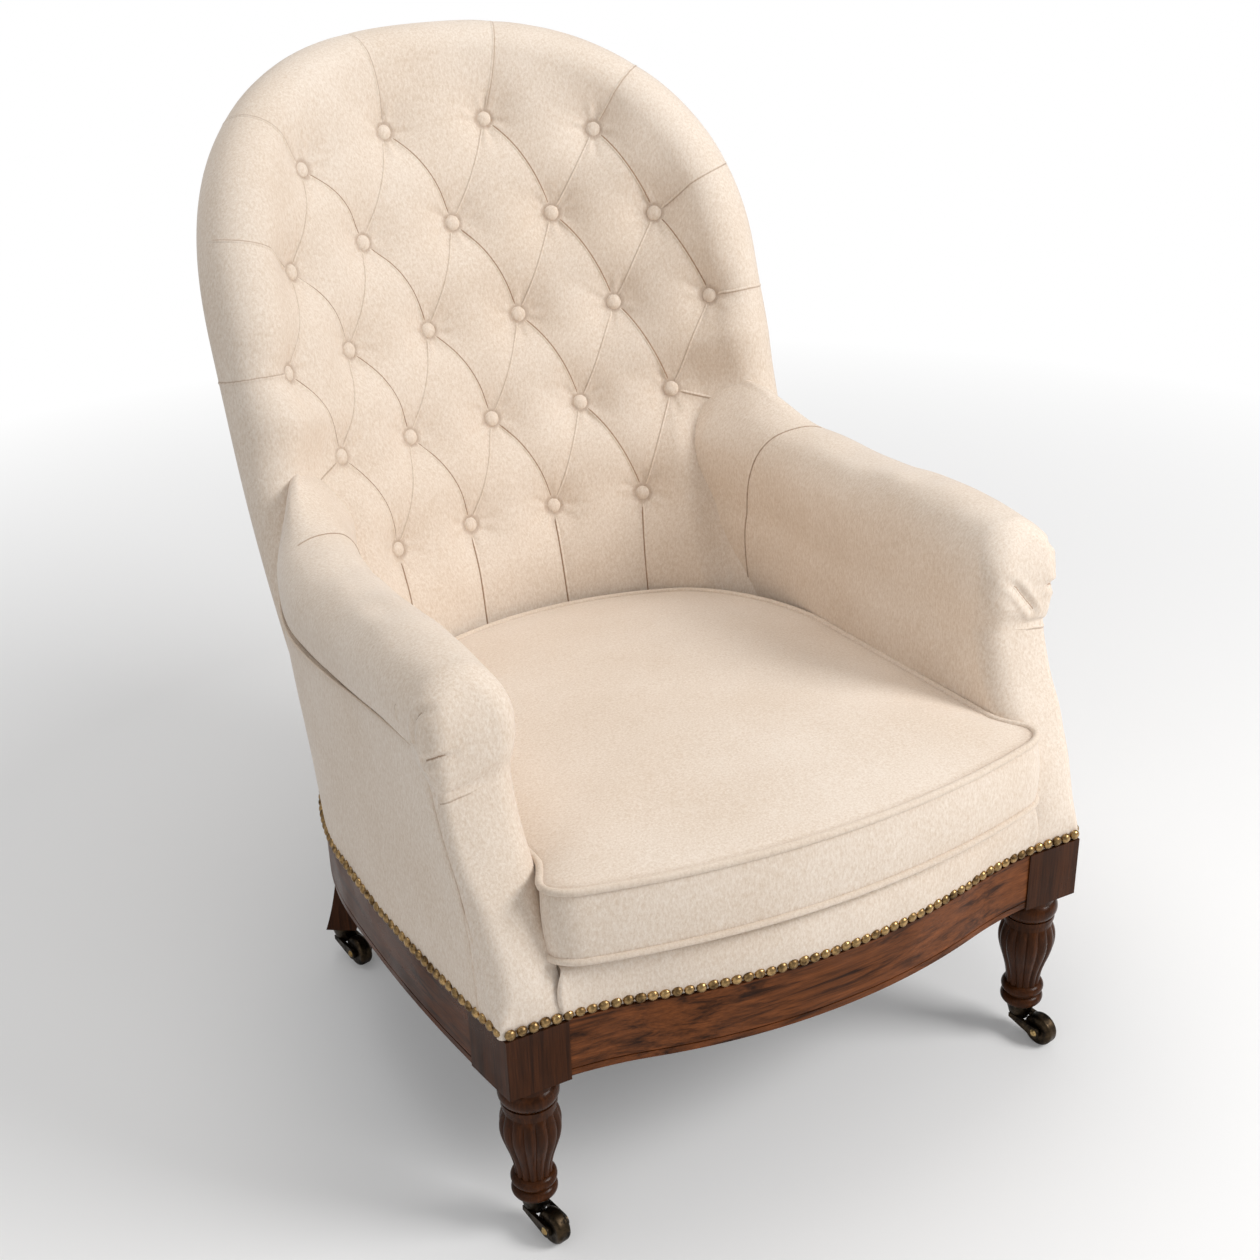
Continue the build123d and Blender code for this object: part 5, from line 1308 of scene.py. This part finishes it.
def dust_sheet():
    """Thin closed shell with the cover's plan, its middle a little lower than its edges."""
    rear = seat_rear_radius - cover_inset
    bend = np.linspace(-np.pi / 2, np.pi / 2, 80)
    rear_arc = np.stack([rear * np.cos(bend[40:]), seat_side_run + rear * np.sin(bend[40:])], -1)
    y = np.linspace(cover_front, seat_side_run, 60)[:-1]
    right = np.concatenate([np.stack([side_x(y) - cover_inset, y], -1), rear_arc])
    plan = np.concatenate([right, (right * [-1, 1])[::-1][1:]])
    corner = (plan[:, 1] < leg_block) & (np.abs(plan[:, 0]) > half_front - leg_block)
    plan[corner, 0] = np.sign(plan[corner, 0]) * (half_front - leg_block)
    centre = np.array([0.0, cover_middle_y])
    size = np.concatenate([np.linspace(0, 1, 14), np.linspace(1, 0, 14)])[:, None, None]
    ring = centre + (plan - centre) * size
    sag = cover_sag * (1 - size[..., 0] ** 2)
    top = np.concatenate([np.zeros(14), np.ones(14)])[:, None]
    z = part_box("dust_cover")[0][2] + 0.0002 + 0.0008 * top - sag + 0 * ring[..., 0]
    return np.concatenate([ring + np.array([0, front_y]), z[..., None]], -1)


sheet = dust_sheet()
dust_cover = surface("dust_cover", [sheet])
wear(dust_cover, cambric, "cambric", "root", "dust_cover")

# %% [markdown]
# Domed nails close the cover along the rail. Each is a small dome of a few dozen faces, and the rows
# are arrays of the same dome, turned to face out and varied slightly, as hammered nails are.

# %% Rows of nails
nail_pitch, nail_radius, nail_height, nail_row = 0.0118, 0.0056, 0.0040, 0.006


def even_places(path, pitch):
    """Points and outward directions at an even pitch along a plan path."""
    run = length_along(path)
    count = int(round(run[-1] / pitch))
    at = (np.arange(count) + 0.5) * run[-1] / count
    place = np.stack([np.interp(at, run, path[:, k]) for k in (0, 1)], -1)
    ahead = np.stack([np.interp(at + 0.001, run, path[:, k]) for k in (0, 1)], -1)
    back = np.stack([np.interp(at - 0.001, run, path[:, k]) for k in (0, 1)], -1)
    along = (ahead - back) / np.linalg.norm(ahead - back, axis=1, keepdims=True)
    return place, np.stack([along[:, 1], -along[:, 0]], -1)


def nail_domes(place, outward, height, tilt, seed):
    """Grids of domes: rings of a cap whose radius is a sine and whose height is a cosine."""
    rng = np.random.default_rng(seed)
    turn = np.linspace(0, 2 * np.pi, 10, endpoint=False)
    cap = np.array([0.05, 0.55, 1.05, 1.45])
    ring = np.concatenate([np.sin(cap), [1.0, 0.85]]) * nail_radius
    rise = np.concatenate([np.cos(cap) * nail_height, [-0.0008, -0.0010]])
    size = 1 + rng.uniform(-0.04, 0.04, len(place))[:, None, None]
    a = size * ring[:, None] * np.cos(turn)
    b = size * ring[:, None] * np.sin(turn)
    out = np.concatenate([outward, np.zeros((len(place), 1))], 1)
    out[:, 2] = -np.tan(tilt + rng.normal(0, 0.05, len(place)))
    out /= np.linalg.norm(out, axis=1, keepdims=True)
    side = np.stack([-outward[:, 1], outward[:, 0], rng.normal(0, 0.05, len(place))], -1)
    side /= np.linalg.norm(side, axis=1, keepdims=True)
    up = np.cross(out, side)
    centre = np.concatenate([place, height + rng.normal(0, 0.0003, (len(place), 1))], 1)
    return (centre[:, None, None] + a[..., None] * side[:, None, None] + b[..., None] * up[:, None, None]
            + (rise[:, None] + 0 * a)[..., None] * out[:, None, None])


def nail_object(name, domes):
    """One piece from all the domes of a row."""
    return wear(surface(name, domes), nail_brass, "nail_brass", "root", name)


nail_z = rail_top + nail_row
lip_half = arm_inner_x - 0.0003
x = np.linspace(-half_front, half_front, 800)
inner = np.abs(x) < lip_half
front_path = np.stack([x, np.where(inner, bow_y(np.clip(x, -lip_half, lip_half), lip_half, facing_foot_y),
                                   facing_foot_y) - 0.002], -1)
place, outward = even_places(front_path, nail_pitch)
nail_object("front_nails", nail_domes(place + [0, front_y], outward, nail_z, 0, 31))

side_path = outer_side(np.linspace(0, 1, 400), np.full(400, nail_z), 0.0, facing_foot_y + 0.002)[:, :2]
place, outward = even_places(side_path, nail_pitch)
lean = side_panel_lean / (arm_under - rail_top) * outward[:, 1]
domes = nail_domes(place + outward * 0.0005 + [0, front_y], outward, nail_z, np.arctan(lean), 32)
nail_object("side_nails_right", domes)
nail_object("side_nails_left", mirrored_grid(domes))


def back_foot_path():
    """Plan path along the foot of the back's rear face, from one corner to the other."""
    angle = np.linspace(1, -1, 400) * 1.02
    z = (nail_z - back_foot[2]) / math.cos(back_rake) + 0 * angle
    for correction in range(5):
        y = on_back(angle, z, half_back)[:, 1]
        z = (nail_z - back_foot[2] + y * math.sin(back_rake)) / math.cos(back_rake)
    edge = np.abs(angle) < np.arcsin(core_half_width(z) / plan_radius(z))
    return raked(on_back(angle, z, half_back))[edge][:, :2]


place, outward = even_places(back_foot_path(), nail_pitch)
tilt = np.arcsin(outward[:, 1] * math.sin(back_rake))
nail_object("back_nails", nail_domes(place + outward * 0.0006, outward, nail_z, tilt, 33))

# %% [markdown]
# The chair stands on a pale floor that fades into a white background. A soft light from the front right, a
# weak large one from the left, one from above and the plain world light it evenly, as in a studio.

# %% Floor, lights and camera
def white_floor():
    """A floor that shows as white to the camera but keeps the shadow of the chair."""
    material, tree, base = shader("studio floor", (0.86, 0.86, 0.86), Roughness=0.9)
    place = node(tree, "ShaderNodeTexCoord", "Object")
    reach = node(tree, "ShaderNodeVectorMath", "Value", operation="LENGTH", in_0=place)
    far = node(tree, "ShaderNodeMapRange", in_Value=reach, in_From_Min=0.9, in_From_Max=2.2,
               in_To_Min=0.12, in_To_Max=1.0)
    to_camera = node(tree, "ShaderNodeLightPath", "Is Camera Ray")
    seen = node(tree, "ShaderNodeMath", operation="MULTIPLY", in_0=to_camera, in_1=far)
    glow = node(tree, "ShaderNodeEmission")
    mix = node(tree, "ShaderNodeMixShader", in_Fac=seen, in_1=base.outputs[0], in_2=glow)
    tree.links.new(mix, tree.nodes["Material Output"].inputs["Surface"])
    return material


floor_size, floor_steps = 6.0, 7
axis = np.linspace(-floor_size, floor_size, floor_steps)
flat = np.stack(np.meshgrid(axis, axis, indexing="ij") + [np.zeros((floor_steps, floor_steps))], -1)
floor = mesh_object("floor", flat.reshape(-1, 3), grid_faces(floor_steps, floor_steps)[:, ::-1])
floor.data.materials.append(white_floor())

world = bpy.data.worlds.new("studio")
bpy.context.scene.world = world
world.use_nodes = True
background = world.node_tree.nodes["Background"]
background.inputs["Color"].default_value = (1, 1, 1, 1)
to_camera = node(world.node_tree, "ShaderNodeLightPath", "Is Camera Ray")
level = node(world.node_tree, "ShaderNodeMapRange", in_Value=to_camera, in_To_Min=0.42, in_To_Max=1.0)
feed(world.node_tree, background, Strength=level)


def area_light(name, place, aim, size, power, colour=(1, 1, 1)):
    """A square soft light that looks at a point."""
    data = bpy.data.lights.new(name, "AREA")
    data.size, data.energy, data.color = size, power, colour
    light = bpy.data.objects.new(name, data)
    bpy.context.scene.collection.objects.link(light)
    place, aim = np.array(place), np.array(aim)
    away = (place - aim) / np.linalg.norm(place - aim)
    side = np.cross([0, 0, 1], away)
    side /= np.linalg.norm(side)
    frame_axes = np.stack([side, np.cross(away, side), away], -1)
    light.matrix_world = Matrix.Translation(place) @ Matrix(frame_axes).to_4x4()


area_light("key", (1.9, -2.0, 2.1), (0, 0, 0.5), 1.2, 70, (1.0, 0.99, 0.98))
area_light("fill", (-2.4, -1.6, 1.2), (0, 0, 0.4), 2.0, 7)
area_light("top", (-0.2, 0.5, 3.0), (0, 0, 0.5), 1.8, 22)

# The camera stands to the left of the front and above: yaw and pitch of its view, and a slight roll
camera_place = np.array([-0.803, front_y - 1.207, 1.353])
yaw, pitch, roll = (math.radians(angle) for angle in (26.86, 27.53, -1.68))
ahead = np.array([math.sin(yaw) * math.cos(pitch), math.cos(yaw) * math.cos(pitch), -math.sin(pitch)])
level_right = np.array([math.cos(yaw), -math.sin(yaw), 0])
level_up = np.cross(level_right, ahead)
right = math.cos(roll) * level_right + math.sin(roll) * level_up
up = math.cos(roll) * level_up - math.sin(roll) * level_right
camera_data = bpy.data.cameras.new("camera")
sensor_width, focal_px, picture_px = 36.0, 1822.3, 1260
camera_data.sensor_width, camera_data.lens = sensor_width, sensor_width * focal_px / picture_px
camera = bpy.data.objects.new("camera", camera_data)
bpy.context.scene.collection.objects.link(camera)
camera.matrix_world = (Matrix.Translation(camera_place)
                       @ Matrix(np.stack([right, up, -ahead], -1)).to_4x4())
bpy.context.scene.camera = camera
bpy.context.scene.view_settings.view_transform = "Standard"
